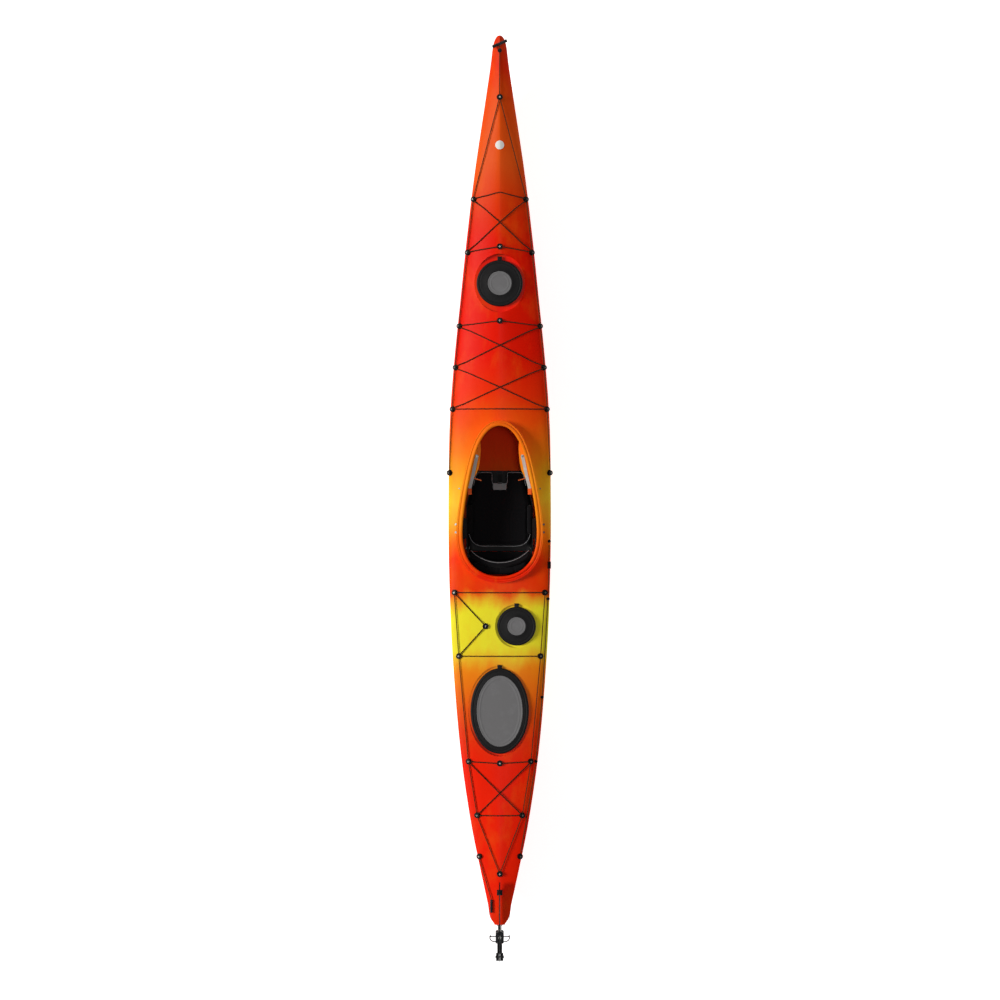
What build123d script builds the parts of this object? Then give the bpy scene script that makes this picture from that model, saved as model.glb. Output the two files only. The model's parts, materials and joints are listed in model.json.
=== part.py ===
"""Touring sea kayak with a moulded hull, three hatches, a padded cockpit and a flip-over rudder.

Row frame, in millimetres: +X starboard, +Y towards the bow, +Z up.
The origin is the centre of the flat keel strip that the boat rests on.
"""

from build123d import *
import math
import os

# ---------------------------------------------------------------- driving dimensions
LENGTH = 5030.0          # hull, tip to stern end
BEAM = 585.0             # greatest width of the hull
WALL = 4.0               # moulded wall
KEEL_HALF = 30.0         # half width of the flat keel strip
KEEL_SINK = 1.0          # how far the lines run under the flat that is planed off them
PARTING_DROP = 6.0       # mould parting line, below the sheer
FIT = 0.3                # gap between pieces that seat on or beside each other
RUN = 0.05               # radial clearance of a pin that turns in a bore

HALF = LENGTH / 2

# Table of offsets. Each row is one design station:
# place along the half length, half beam as a share, keel height, sheer height,
# deck height on the centreline, fullness of the bilge, peak of the deck.
LINES = [
    (-1.000, 0.100, 200.0, 290.0, 300.0, 0.00, 1.0),
    (-0.988, 0.165, 150.0, 289.0, 302.0, 0.05, 1.0),
    (-0.950, 0.235, 82.0, 285.0, 304.0, 0.12, 1.0),
    (-0.900, 0.330, 45.0, 279.0, 303.0, 0.22, 1.0),
    (-0.760, 0.575, 14.0, 262.0, 298.0, 0.50, 0.8),
    (-0.600, 0.770, 4.0, 243.0, 284.0, 0.75, 0.4),
    (-0.450, 0.885, 0.0, 229.0, 272.0, 0.92, 0.2),
    (-0.300, 0.960, -1.0, 219.0, 264.0, 1.00, 0.1),
    (-0.100, 1.000, -1.0, 213.0, 276.0, 1.00, 0.2),
    (0.100, 0.985, -1.0, 216.0, 308.0, 1.00, 0.4),
    (0.250, 0.905, -1.0, 227.0, 330.0, 0.92, 0.6),
    (0.400, 0.775, 2.0, 246.0, 343.0, 0.80, 0.7),
    (0.550, 0.640, 9.0, 272.0, 357.0, 0.60, 0.8),
    (0.700, 0.482, 22.0, 303.0, 373.0, 0.42, 0.9),
    (0.850, 0.285, 56.0, 341.0, 393.0, 0.22, 1.0),
    (0.940, 0.170, 132.0, 370.0, 408.0, 0.10, 1.0),
    (0.985, 0.115, 270.0, 388.0, 415.0, 0.05, 1.0),
    (1.000, 0.040, 375.0, 396.0, 413.0, 0.00, 1.0),
]
PLACE, SHARE, KEEL_Z, SHEER_Z, DECK_Z, FULL, PEAK = range(7)
STATIONS = (-1, -0.988, -0.97, -0.95, -0.925, -0.9, -0.85, -0.8, -0.74, -0.68, -0.6, -0.52, -0.45,
            -0.37, -0.3, -0.2, -0.1, 0, 0.1, 0.18, 0.25, 0.32, 0.4, 0.475, 0.55, 0.625, 0.7,
            0.775, 0.85, 0.9, 0.94, 0.965, 0.985, 1)
VOID_ENDS = (-0.972, 0.95)   # the tips beyond these are solid plastic

# Bilge curve as shares of half beam and hull depth, keel edge to sheer.
V_BILGE = [(0.0, 0.0), (0.25, 0.10), (0.45, 0.28), (0.66, 0.50), (0.85, 0.75), (1.0, 1.0)]
U_BILGE = [(0.0, 0.0), (0.42, 0.02), (0.92, 0.07), (1.0, 0.35), (0.985, 0.66), (1.0, 1.0)]
# Deck curve, sheer to centreline, as shares of half beam and deck crown.
ROUND_DECK = [(1.0, 0.0), (0.98, 0.45), (0.66, 0.90), (0.30, 1.0), (0.0, 1.0)]
PEAK_DECK = [(1.0, 0.0), (0.93, 0.25), (0.55, 0.62), (0.12, 1.0), (0.0, 1.0)]

# Hatches: centre, half width and half length of the cover, floor height of the seat,
# half width and half length of the plate, and how far the seat's floor runs past the cover.
HATCHES = {
    "bow_hatch": dict(at=(0, 1125), cover=(131, 131), floor=317, plate=(68, 68), ledge=(13, 34)),
    "day_hatch": dict(at=(96, -821), cover=(110, 110), floor=250, plate=(52, 52), ledge=(13, 14)),
    "stern_hatch": dict(at=(0, -1303), cover=(166, 243), floor=259, plate=(131, 202), ledge=(13, 13)),
}
COVER_SKIRT = 8.0        # rubber skirt round the rim
COVER_TOP = 5.0          # rubber top
RIM_WALL = 13.0          # rim ring, hole edge to skirt
RIM_HEIGHT = 17.0        # rim ring above the seat floor
PLATE_THICK = 3.0
PLATE_SINK = 2.0         # how far the plate is let into the rubber
TAB = (26.0, 24.0, 4.0)  # pull tab

# Cockpit opening, an egg shape: x = sin(a) (c0 + c1 cos(a) + c2 cos(a)^2)
COCKPIT_MID = -110.0
COCKPIT_HALF = 428.0
EGG = (195.0, -67.0, 60.0)
LIP_FRONT_Z = 343.0
LIP_BACK_Z = 290.0
LIP_THICK = 6.0
LIP_WIDTH = (32.0, -4.0)    # mean width and how much it narrows to the front
COAMING_WALL = 6.0

# Bulkheads: aft face and thickness of each foam wall.
BULKHEADS = {"bow_bulkhead": 926.0, "middle_bulkhead": -688.0, "stern_bulkhead": -1038.0}
BULKHEAD_THICK = 26.0

# Deck rigging: plan positions of the fittings, starboard side; pairs are mirrored.
PAIRED_FITTINGS = {
    "bow_1": (146, 1602), "bow_2": (180, 1302), "fore_1": (227, 886), "fore_2": (249, 651),
    "fore_3": (266, 414), "side_1": (283, 52), "aft_1": (256, -630), "aft_2": (231, -992),
    "stern_1": (176, -1590), "stern_2": (127, -1895), "stern_3": (115, 387 - LENGTH / 2),
}
CENTRE_FITTINGS = {
    "bow_end": (0, LENGTH / 2 - 345), "bow_mid": (0, 1331), "fore_mid": (0, 912),
    "day_side": (-80, -821), "stern_mid": (0, -1599), "stern_end": (0, 290 - LENGTH / 2),
}
FITTING_R = 17.0
FITTING_BASE = 5.0
FITTING_BOSS_R = 10.0
FITTING_BOSS = 12.0
SCREW_HEAD_R = 5.0
SCREW_HEAD = 2.0
LINE_R = 2.5             # static deck line
BUNGEE_R = 3.0           # elastic deck cord
CORD_GAP = 1.2           # cord above the deck
CORD_STEP = 36.0         # spacing of the points that a cord is laid over the deck with

# Seat.
PAN_HALF = 186.0         # inside half width of the pan
PAN_WALL = 5.0
PAN_BASE = 26.0          # underside of the pan
PAN_TOP = 128.0
PAN_Y = (-398.0, 66.0)
PAN_ROUND = 34.0
FOOT_X = (54.0, 66.0)    # runners between the pan and the hull's floor
HANGER_Y = (-322.0, -207.0)
HANGER_X = 266.0
HANGER_LOW = 214.0
PAD_TOP = 72.0
PAD_Y = (-372.0, 58.0)
PAD_FRONT_HALF = 130.0
PAD_HALF = 180.0
PAD_WIDEST_Y = -130.0
NOTCH = (41.0, 62.0)     # half width and depth of the notch in the pad's front
HIP_Y = (-300.0, -130.0)
HIP_TOP = 168.0
HIP_THICK = 28.0
BOLT_X = 250.0
BOLT_Y = (-242.0, -287.0)
BOLT_R = 3.0
BOLT_HEAD_R = 6.0
BOLT_HEAD = 2.5
BRACE_SCREW = (230.0, -38.0)
LIFTER_TAB = (39.5, -45.0, -9.0, 2.5)
STRAP = (12.5, 1.8)      # half width and thickness of the webbing

# Back band: an arc about a centre ahead of it, hinged on the pan's sides.
BAND_AXIS = (-380.0, 104.0)
BAND_MID_Y = -462.0      # front of the pad on the centreline, at the top
BAND_R = 232.0
BAND_HALF = 178.0
BAND_Z = (108.0, 236.0)
BAND_THICK = 22.0
BAND_FRAME = 4.0
BAND_EAR_R = 16.0

# Thigh hooks moulded in the coaming, and the adjustable braces on them.
HOOK = [(111, 232), (107, 190), (110, 143), (126, 60), (156, 5), (186, -42)]
HOOK_DROP = 26.0
HOOK_THICK = 5.0
BRACE = [(129.5, 146), (156, 18), (170, -38), (170, -72)]
BRACE_HALF = 9.0
BRACE_THICK = 4.0

# Foot braces.
RAIL_Y = (400.0, 720.0)
RAIL_X = (212.0, 226.0)
RAIL_Z = 118.0
RAIL_HALF = 17.0
RAIL_MOUNT = 30.0
T_HEAD = (217.0, 223.0, 9.0)     # near face, far face and half height of the T slot's head
T_NECK = 5.0
BAR_Y = (440.0, 680.0)
BAR_X = (205.0, 211.5)
BAR_HALF = 8.0
PEDAL_Y = 560.0
PEDAL_X = (132.0, 196.0)
PEDAL_Z = (64.0, 176.0)
PEDAL_THICK = 9.0
CARRIAGE = 40.0

# Rudder.
STEER_Y = -LENGTH / 2 - 73.0
PIN_R = 5.0
LUG_Z = (236.0, 272.0)
LUG_R = 12.0
LUG_HALF = 11.0
YOKE_HALF = 23.5
YOKE_Y = (STEER_Y - 33.0, STEER_Y + 32.0)
YOKE_Z = (214.0, 298.0)
YOKE_BACK = 14.0         # solid rear of the yoke, behind the lug's slot
ARM_REACH = 54.0
ARM_Z = (276.0, 282.0)
LOOP_R = 1.6
FLIP_Y = STEER_Y - 102.0
FLIP_Z = 336.0
BLADE_THICK = 6.0
BLADE_LONG = 424.0
BLADE_ROOT = 22.0
BLADE_LEAD = 60.0
BLADE_STEP = (128.0, 196.0)      # where the leading edge starts and stops widening
BOSS_R = 23.0
CHEEK_GAP = 0.6
CHEEK_OUT = 14.0
BOSS_OUT = 20.5
SWEEP_R = 48.0
FLIP_PIN_R = 4.0
CABLE_R = 1.2
SHEATH_R = 3.0
SHEATH_BORE = 1.7
CABLE_Z = 279.0
SHEATH_PATH = [(214, 390, 118), (214, 120, 118), (200, -700, 122), (186, -1400, 150), (96, 365 - LENGTH / 2, 232),
               (56, 53 - LENGTH / 2, 262)]
CABLE_END = (ARM_REACH, STEER_Y + 10 + FIT)
CHOCK = (16.0, FLIP_Y + 345.0, FLIP_Y + 375.0)

# Rudder lift line: guides along the starboard sheer, cleat beside the cockpit.
GUIDES = [(281, -338), (274, -666), (240, -1226), (205, -1590)]
CLEAT = (279, -474)
GUIDE_R = 9.0
GUIDE_TALL = 7.0

# Toggles.
BOW_EYE_Y = LENGTH / 2 - 85.0
BOW_GRIP = (BOW_EYE_Y + 36.0, 45.0, 9.0, 24.0)     # place, half length, radius, turn in degrees
BOW_GRIP_GAP = 1.5
STERN_GRIP = (-47.0, 107 - LENGTH / 2, 37.0, 7.5)  # place, half length, radius
TOGGLE_CORD_R = 2.5

BADGE = (1902.0, 25.0, 1.2)      # place, radius, thickness

# ---------------------------------------------------------------- helpers
parts = {}


def mix(a, b, t):
    return a + (b - a) * t


def add(name, *shapes):
    """Files solids under a node's name."""
    solids = parts.setdefault(name, [])
    for shape in shapes:
        solids.extend(shape.solids())


def slab(x, y, z):
    """Box from three (low, high) pairs."""
    size = [pair[1] - pair[0] for pair in (x, y, z)]
    return Pos(x[0], y[0], z[0]) * Box(*size, align=(Align.MIN, Align.MIN, Align.MIN))


def post(x, y, z_low, z_high, radius):
    return Pos(x, y, z_low) * Cylinder(radius, z_high - z_low, align=(Align.CENTER, Align.CENTER, Align.MIN))


def oval_post(at, half, z_low, z_high):
    """Upright cylinder or elliptic cylinder."""
    if abs(half[0] - half[1]) < 1e-6:
        return post(at[0], at[1], z_low, z_high, half[0])
    return extrude(Pos(at[0], at[1], z_low) * Ellipse(half[0], half[1]), z_high - z_low)


def rod(start, end, radius):
    """Round bar between two points."""
    line = Vector(*end) - Vector(*start)
    return extrude(Plane(origin=start, z_dir=line) * Circle(radius), line.length)


def mirrored(shape):
    return mirror(shape, Plane.YZ)


# ---------------------------------------------------------------- hull lines
def faired(column, place):
    """Monotone cubic through one column of the table of offsets."""
    x = [row[PLACE] for row in LINES]
    v = [row[column] for row in LINES]
    place = min(max(place, x[0]), x[-1])
    slope = [(v[i + 1] - v[i]) / (x[i + 1] - x[i]) for i in range(len(x) - 1)]
    tangent = [slope[0]]
    for i in range(1, len(slope)):
        before, after = slope[i - 1], slope[i]
        left, right = x[i] - x[i - 1], x[i + 1] - x[i]
        if before * after <= 0:
            tangent.append(0.0)
        else:
            total = left + right
            tangent.append(3 * total / ((total + right) / before + (total + left) / after))
    tangent.append(slope[-1])
    i = min(sum(1 for p in x[1:] if p < place), len(slope) - 1)
    h = x[i + 1] - x[i]
    t = (place - x[i]) / h
    return ((1 + 2 * t) * (1 - t) ** 2 * v[i] + t * (1 - t) ** 2 * h * tangent[i]
            + t * t * (3 - 2 * t) * v[i + 1] + t * t * (t - 1) * h * tangent[i + 1])


def bilge(y, inset=0.0):
    """Control points of the starboard hull curve at a station, keel edge to sheer."""
    place = y / HALF
    half = faired(SHARE, place) * BEAM / 2 - inset
    low = faired(KEEL_Z, place) + inset
    depth = faired(SHEER_Z, place) - low
    full = faired(FULL, place)
    keel = min(KEEL_HALF, 0.3 * half)
    return [(mix(keel, half, mix(v[0], u[0], full)), low + depth * mix(v[1], u[1], full))
            for v, u in zip(V_BILGE, U_BILGE)]


def deck(y, inset=0.0):
    """Control points of the starboard deck curve at a station, sheer to centreline."""
    place = y / HALF
    half = faired(SHARE, place) * BEAM / 2 - inset
    sheer = faired(SHEER_Z, place)
    crown = faired(DECK_Z, place) - inset - sheer
    peak = faired(PEAK, place)
    return [(half * mix(r[0], p[0], peak), sheer + crown * mix(r[1], p[1], peak))
            for r, p in zip(ROUND_DECK, PEAK_DECK)]


def bezier_at(points, t):
    while len(points) > 1:
        points = [(mix(a[0], b[0], t), mix(a[1], b[1], t)) for a, b in zip(points, points[1:])]
    return points[0]


def height_on(curve, x):
    """Height of a section curve at a distance from the centreline."""
    low, high = 0.0, 1.0
    rising = curve[-1][0] > curve[0][0]
    for _ in range(40):
        t = (low + high) / 2
        if (bezier_at(curve, t)[0] < abs(x)) == rising:
            low = t
        else:
            high = t
    return bezier_at(curve, low)[1]


def deck_top(x, y):
    return height_on(deck(y), x)


def section(y, inset=0.0):
    """Closed outline of the boat at a station."""
    def points(curve, side):
        return [(side * x, y, z) for x, z in curve]
    hull, top = bilge(y, inset), deck(y, inset)
    return Wire([
        Bezier(*points(hull, 1)),
        Bezier(*points(top, 1)),
        Bezier(*points(top[::-1], -1)),
        Bezier(*points(hull[::-1], -1)),
        Line(points(hull, -1)[0], points(hull, 1)[0]),
    ])


def body_of_lines(inset=0.0, ends=(-1, 1)):
    """Solid lofted through the stations between two places."""
    places = [ends[0], *[s for s in STATIONS if ends[0] < s < ends[1]], ends[1]]
    return Solid.make_loft([section(s * HALF, inset) for s in places])


def seat_shapes(spec, grow):
    """Pedestal and recess of a hatch seat, for the outside (grow 0) or the inside (grow WALL)."""
    half = [h + margin for h, margin in zip(spec["cover"], spec["ledge"])]
    floor = spec["floor"] - grow
    pedestal = oval_post(spec["at"], [h - grow for h in half], floor - 70, floor)
    recess = oval_post(spec["at"], [h + grow for h in half], floor, floor + 140)
    return pedestal, recess


def formed(inset, ends):
    """The lofted body with its hatch seats pressed in."""
    body = body_of_lines(inset, ends)
    for spec in HATCHES.values():
        pedestal, recess = seat_shapes(spec, inset)
        body = body + pedestal - recess
    return body


# ---------------------------------------------------------------- cockpit outline
def egg_point(a, grow=0.0):
    """Plan point of the cockpit opening at an angle from the bow, moved outwards."""
    def at(angle):
        c, s = math.cos(angle), math.sin(angle)
        return s * (EGG[0] + EGG[1] * c + EGG[2] * c * c), COCKPIT_MID + COCKPIT_HALF * c
    step = 1e-4
    (x0, y0), (x1, y1) = at(a - step), at(a + step)
    dx, dy = x1 - x0, y1 - y0
    size = math.hypot(dx, dy)
    x, y = at(a)
    return x - grow * dy / size, y + grow * dx / size


def lip_z(y):
    front, back = COCKPIT_MID + COCKPIT_HALF, COCKPIT_MID - COCKPIT_HALF
    return mix(LIP_BACK_Z, LIP_FRONT_Z, (y - back) / (front - back))


def egg_face(grow, drop=0.0, level=None):
    """Face bounded by the opening's outline, in the tilted plane of the lip or at one level."""
    count = 28
    points = []
    for i in range(count):
        a = 2 * math.pi * i / count
        x, y = egg_point(a, grow(a) if callable(grow) else grow)
        points.append((x, y, lip_z(y) - drop if level is None else level))
    return make_face(Spline(*points, periodic=True))


def lip_width(a):
    return LIP_WIDTH[0] + LIP_WIDTH[1] * math.cos(a)


# ---------------------------------------------------------------- moulded hull
outer = formed(0.0, (-1, 1)) - slab((-200, 200), (-HALF, HALF), (-50, 0))
void = formed(WALL, VOID_ENDS)
lining = body_of_lines(WALL + FIT, VOID_ENDS)
shell = outer - void

parting = Spline(*[(0, s * HALF, faired(SHEER_Z, s) - PARTING_DROP) for s in STATIONS])
corners = [(0, HALF + 60, faired(SHEER_Z, 1) - PARTING_DROP), (0, HALF + 60, -60),
           (0, -HALF - 60, -60), (0, -HALF - 60, faired(SHEER_Z, -1) - PARTING_DROP)]
below = make_face(Wire([parting, Line(parting @ 1, corners[0]), Line(corners[0], corners[1]),
                        Line(corners[1], corners[2]), Line(corners[2], corners[3]),
                        Line(corners[3], parting @ 0)]))
below = extrude(below, BEAM, both=True)
hull_shell = shell & below
deck_shell = shell - below

deck_shell -= extrude(egg_face(0.0, level=150), 300)
for spec in HATCHES.values():
    hole = [h - COVER_SKIRT - FIT - RIM_WALL for h in spec["cover"]]
    deck_shell -= oval_post(spec["at"], hole, 150, 450)

grown = body_of_lines(-FIT)          # what sits on the deck is trimmed to this
coaming = extrude(egg_face(COAMING_WALL, 1.5), -170, dir=(0, 0, 1)) - grown
coaming += extrude(egg_face(lip_width), -LIP_THICK, dir=(0, 0, 1))
opening = extrude(egg_face(0.0, -10), -250, dir=(0, 0, 1))
coaming -= opening
# ---------------------------------------------------------------- hatches
for name, spec in HATCHES.items():
    at, cover, floor = spec["at"], spec["cover"], spec["floor"]
    inside = [h - COVER_SKIRT - FIT for h in cover]
    hole = [h - RIM_WALL for h in inside]
    top = floor + RIM_HEIGHT + FIT
    add("hatch_rims", oval_post(at, inside, floor, floor + RIM_HEIGHT) - oval_post(at, hole, floor - 1, floor + 40))
    rubber = oval_post(at, cover, floor + FIT, top + COVER_TOP)
    rubber = fillet(rubber.edges().sort_by(Axis.Z)[-1:], COVER_TOP - 1)
    rubber -= oval_post(at, [h + FIT for h in inside], floor - 1, top)
    rubber -= oval_post(at, [p + FIT for p in spec["plate"]], top + COVER_TOP - PLATE_SINK, top + 40)
    tab_y = at[1] + cover[1] - 4
    rubber += slab((at[0] - TAB[0] / 2, at[0] + TAB[0] / 2), (tab_y, tab_y + TAB[1]), (top - 2, top - 2 + TAB[2]))
    add(name + "_cover", rubber)
    plate_low = top + COVER_TOP - PLATE_SINK
    add(name + "_plate", oval_post(at, spec["plate"], plate_low, plate_low + PLATE_THICK))


# ---------------------------------------------------------------- thigh hooks and braces


def tilted(points, drop):
    """Plan points put in the lip's plane, lowered."""
    return [(x, y, lip_z(y) - drop) for x, y in points]


up = Vector(0, -(LIP_FRONT_Z - LIP_BACK_Z) / (2 * COCKPIT_HALF), 1).normalized()
edge = [egg_point(math.radians(a), COAMING_WALL / 2) for a in range(79, 42, -6)]
inner = Spline(*tilted(HOOK, HOOK_DROP))
outside = Polyline(*tilted([HOOK[-1], *edge, HOOK[0]], HOOK_DROP))
hook = extrude(make_face(Wire([inner, *outside.edges()])), -HOOK_THICK, dir=(0, 0, 1))
coaming = coaming + hook + mirrored(hook)
add("cockpit_coaming", coaming)

brace_drop = HOOK_DROP - FIT


def flat_bar(points, half, drop, thick):
    """Bar of even width along plan points, lying in the lip's plane."""
    path = Polyline(*[(x, y, 0) for x, y in points])
    plan = trace(path, 2 * half)
    return extrude(Pos(0, 0, 150) * plan, 300) & slab_in_plane(drop, thick)


def slab_in_plane(drop, thick):
    """Layer parallel to the lip's plane, over the cockpit's length."""
    corners = tilted([(-300, 400), (300, 400), (300, -300), (-300, -300)], drop)
    return extrude(make_face(Polyline(*corners, close=True)), thick, dir=(0, 0, 1))


bolt_at = BRACE[0]
pivot = Plane(origin=tilted([bolt_at], brace_drop)[0], z_dir=up)
arm = flat_bar(BRACE[:3], BRACE_HALF, brace_drop, BRACE_THICK)
arm += pivot * Cylinder(BRACE_HALF, BRACE_THICK, align=(Align.CENTER, Align.CENTER, Align.MIN))
arm -= pivot * Pos(0, 0, -9) * Cylinder(BOLT_R + RUN, 30, align=(Align.CENTER, Align.CENTER, Align.MIN))
tip_plane = Plane(origin=tilted([BRACE[-1]], brace_drop)[0], z_dir=up)
tip = flat_bar(BRACE[2:], BRACE_HALF + 1.5, brace_drop, BRACE_THICK + 3) - arm
tip -= flat_bar([BRACE[1], BRACE[2]], BRACE_HALF + FIT, brace_drop - 0, BRACE_THICK + FIT)
tip = tip.solids().sort_by(SortBy.VOLUME)[-1]
pull_z = tilted([(0, 18)], brace_drop)[0][2] + BRACE_THICK / 2
pull = rod((BRACE[1][0] - BRACE_HALF - FIT - 1, BRACE[1][1] + 2, pull_z), (104, 8, pull_z - 6), TOGGLE_CORD_R)
bolt = pivot * (Pos(0, 0, -12) * Cylinder(BOLT_R, 12 + BRACE_THICK + FIT, align=(Align.CENTER, Align.CENTER, Align.MIN))
                + Pos(0, 0, BRACE_THICK + FIT) * Cylinder(BOLT_HEAD_R + 1, 3, align=(Align.CENTER, Align.CENTER, Align.MIN))
                + Pos(0, 0, -12) * Cylinder(BOLT_HEAD_R, 12 - HOOK_THICK - 2 * FIT, align=(Align.CENTER, Align.CENTER, Align.MIN)))
bore = pivot * Pos(0, 0, -20) * Cylinder(BOLT_R + FIT, 40, align=(Align.CENTER, Align.CENTER, Align.MIN))
parts["cockpit_coaming"] = []
add("cockpit_coaming", coaming - bore - mirrored(bore))
for side, flip in (("starboard", lambda shape: shape), ("port", mirrored)):
    add("thigh_brace_" + side, flip(arm))
    add("thigh_tip_" + side, flip(tip))
    add("thigh_cord_" + side, flip(pull))
    add("seat_bolts", flip(bolt))

# ---------------------------------------------------------------- deck fittings


def deck_plane(x, y):
    """Plane on the deck's outside, its z axis out of the deck."""
    step = 0.5
    slope_x = (deck_top(x + step, y) - deck_top(x - step, y)) / (2 * step)
    slope_y = (deck_top(x, y + step) - deck_top(x, y - step)) / (2 * step)
    x_dir = Vector(1, 0, slope_x).normalized()
    return Plane(origin=(x, y, deck_top(x, y)), x_dir=x_dir, z_dir=Vector(-slope_x, -slope_y, 1))


def disc(plane, radius, low, high):
    return plane * Pos(0, 0, low) * Cylinder(radius, high - low, align=(Align.CENTER, Align.CENTER, Align.MIN))


fittings, screws, drills = [], [], []
cap_low = FITTING_BOSS
cap_high = FITTING_BOSS + 2.5


def fit_fitting(x, y):
    plane = deck_plane(x, y)
    body = (disc(plane, FITTING_R, -9, FITTING_BASE) + disc(plane, FITTING_BOSS_R, 0, cap_high)
            + disc(plane, FITTING_BOSS_R + 3.5, cap_low, cap_high))
    body -= disc(plane, BOLT_R + FIT, -20, cap_high + 1)
    fittings.append(body)
    screws.append(disc(plane, SCREW_HEAD_R, cap_high + FIT, cap_high + FIT + SCREW_HEAD)
                  + disc(plane, BOLT_R, -14, cap_high + 1))
    drills.append(disc(plane, BOLT_R + FIT, -20, 4))


for x, y in PAIRED_FITTINGS.values():
    fit_fitting(x, y)
    fit_fitting(-x, y)
for x, y in CENTRE_FITTINGS.values():
    fit_fitting(x, y)
for fitting in fittings:
    add("deck_fittings", (fitting - grown).solids().sort_by(Axis.Z)[-1])
for screw in screws:
    add("fitting_screws", screw)

for x in (-BOLT_X, BOLT_X):
    for y in BOLT_Y:
        plane = deck_plane(x, y)
        top = disc(plane, BOLT_HEAD_R, FIT, FIT + BOLT_HEAD) + disc(plane, BOLT_R, -26, FIT + 1)
        add("seat_bolts", top)
        drills.append(disc(plane, BOLT_R + FIT, -40, 4))
    plane = deck_plane(math.copysign(BRACE_SCREW[0], x), BRACE_SCREW[1])
    add("seat_bolts", disc(plane, BOLT_HEAD_R - 1.5, FIT, FIT + 2) + disc(plane, BOLT_R - 1, -12, FIT + 1))
    drills.append(disc(plane, BOLT_R - 1 + FIT, -30, 4))

# ---------------------------------------------------------------- lines and bungees


def over_deck(x, y, height):
    """Point above the deck's outside, measured square to the deck."""
    return deck_plane(x, y).from_local_coords((0, 0, height))


def beside(here, toward, reaches, height):
    """Points at distances from a fitting's axis, square above the deck."""
    plane = deck_plane(*here)
    aim = Vector(toward[0] - here[0], toward[1] - here[1], 0)
    aim -= plane.z_dir * aim.dot(plane.z_dir)
    aim = aim.normalized()
    return [plane.origin + aim * reach + plane.z_dir * height for reach in reaches]


def laid(start, end, radius, via=(), lift=(), hug=FITTING_BOSS_R + FIT, seat=FITTING_BASE + FIT, clear=FITTING_R):
    """Points of a taut cord between two fittings, resting on the deck's humps only."""
    stops = [start, *via, end]
    plan = []
    for a, b in zip(stops, stops[1:]):
        length = math.hypot(b[0] - a[0], b[1] - a[1])
        count = max(2, round(length / CORD_STEP))
        plan += [(mix(a[0], b[0], i / count), mix(a[1], b[1], i / count)) for i in range(count)]
    plan.append(end)
    for a, b in zip(stops, stops[1:]):
        if a[0] * b[0] < 0:
            plan.insert(-1, (0, mix(a[1], b[1], a[0] / (a[0] - b[0]))))
    points = []
    first = beside(start, stops[1], (hug, clear + radius), seat + radius)
    last = beside(end, stops[-2], (hug, clear + radius), seat + radius)
    for x, y in plan[1:-1]:
        near = min(math.hypot(x - p[0], y - p[1]) for p in (start, end))
        if near > clear + 2 * radius + 10:
            points.append(over_deck(x, y, radius + CORD_GAP))
    for x, y, extra in lift:
        points = [p for p in points if abs(p.X - x) > 8]
        points.append(over_deck(x, y, radius + CORD_GAP + extra))
    points.sort(key=lambda p: (p.X - start[0]) * (end[0] - start[0]) + (p.Y - start[1]) * (end[1] - start[1]))
    chain = [*first, *points, *last[::-1]]
    taut = chain[:2]
    for point in chain[2:]:
        while len(taut) > 2 and not humped(taut[-2], taut[-1], point):
            taut.pop()
        taut.append(point)
    return taut


def humped(a, b, c):
    """True where the middle point stands above the straight line past it."""
    along = (c - a)
    share = (b - a).dot(along) / along.dot(along)
    return b.Z > a.Z + along.Z * share + 0.15


def cord(points, radius):
    path = FilletPolyline(*points, radius=3 * radius) if len(points) > 2 else Line(*points)
    start = Plane(origin=path @ 0, z_dir=path % 0)
    return sweep(start * Circle(radius), path)


def pair(name):
    x, y = PAIRED_FITTINGS[name]
    return (x, y), (-x, y)


def lace(node, start, end, radius=BUNGEE_R, **more):
    add(node, cord(laid(start, end, radius, **more), radius))


def cross(node, front, back):
    """Two elastic cords that cross, one over the other."""
    (s1, p1), (s2, p2) = pair(front), pair(back)
    lace(node, s1, p2)
    share = s1[0] / (s1[0] + s2[0])
    lace(node, p1, s2, lift=[(0, mix(s1[1], s2[1], share), 2 * BUNGEE_R + 1.5)])


def veer(node, name, centre):
    for point in pair(name):
        lace(node, point, CENTRE_FITTINGS[centre])


ridge = 35.0
s1, p1 = pair("bow_1")
lace("fore_bungees", s1, p1, via=[(0, s1[1] + ridge)])
cross("fore_bungees", "bow_1", "bow_2")
veer("fore_bungees", "bow_2", "bow_mid")
veer("fore_bungees", "fore_1", "fore_mid")
cross("fore_bungees", "fore_1", "fore_2")
cross("fore_bungees", "fore_2", "fore_3")
lace("fore_bungees", *pair("fore_3"))
lace("aft_bungees", *pair("aft_1"))
lace("aft_bungees", pair("aft_1")[1], CENTRE_FITTINGS["day_side"])
lace("aft_bungees", CENTRE_FITTINGS["day_side"], pair("aft_2")[1])
lace("aft_bungees", *pair("aft_2"))
veer("aft_bungees", "stern_1", "stern_mid")
cross("aft_bungees", "stern_1", "stern_2")
lace("aft_bungees", *pair("stern_2"))
for side, index in (("starboard", 0), ("port", 1)):
    fore = [CENTRE_FITTINGS["bow_end"]] + [pair(n)[index] for n in
                                           ("bow_1", "bow_2", "fore_1", "fore_2", "fore_3", "side_1")]
    aft = [pair(n)[index] for n in ("aft_1", "aft_2", "stern_1", "stern_2")] + [CENTRE_FITTINGS["stern_end"]]
    for run in (fore, aft):
        for a, b in zip(run, run[1:]):
            lace("perimeter_lines", a, b, LINE_R)

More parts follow.
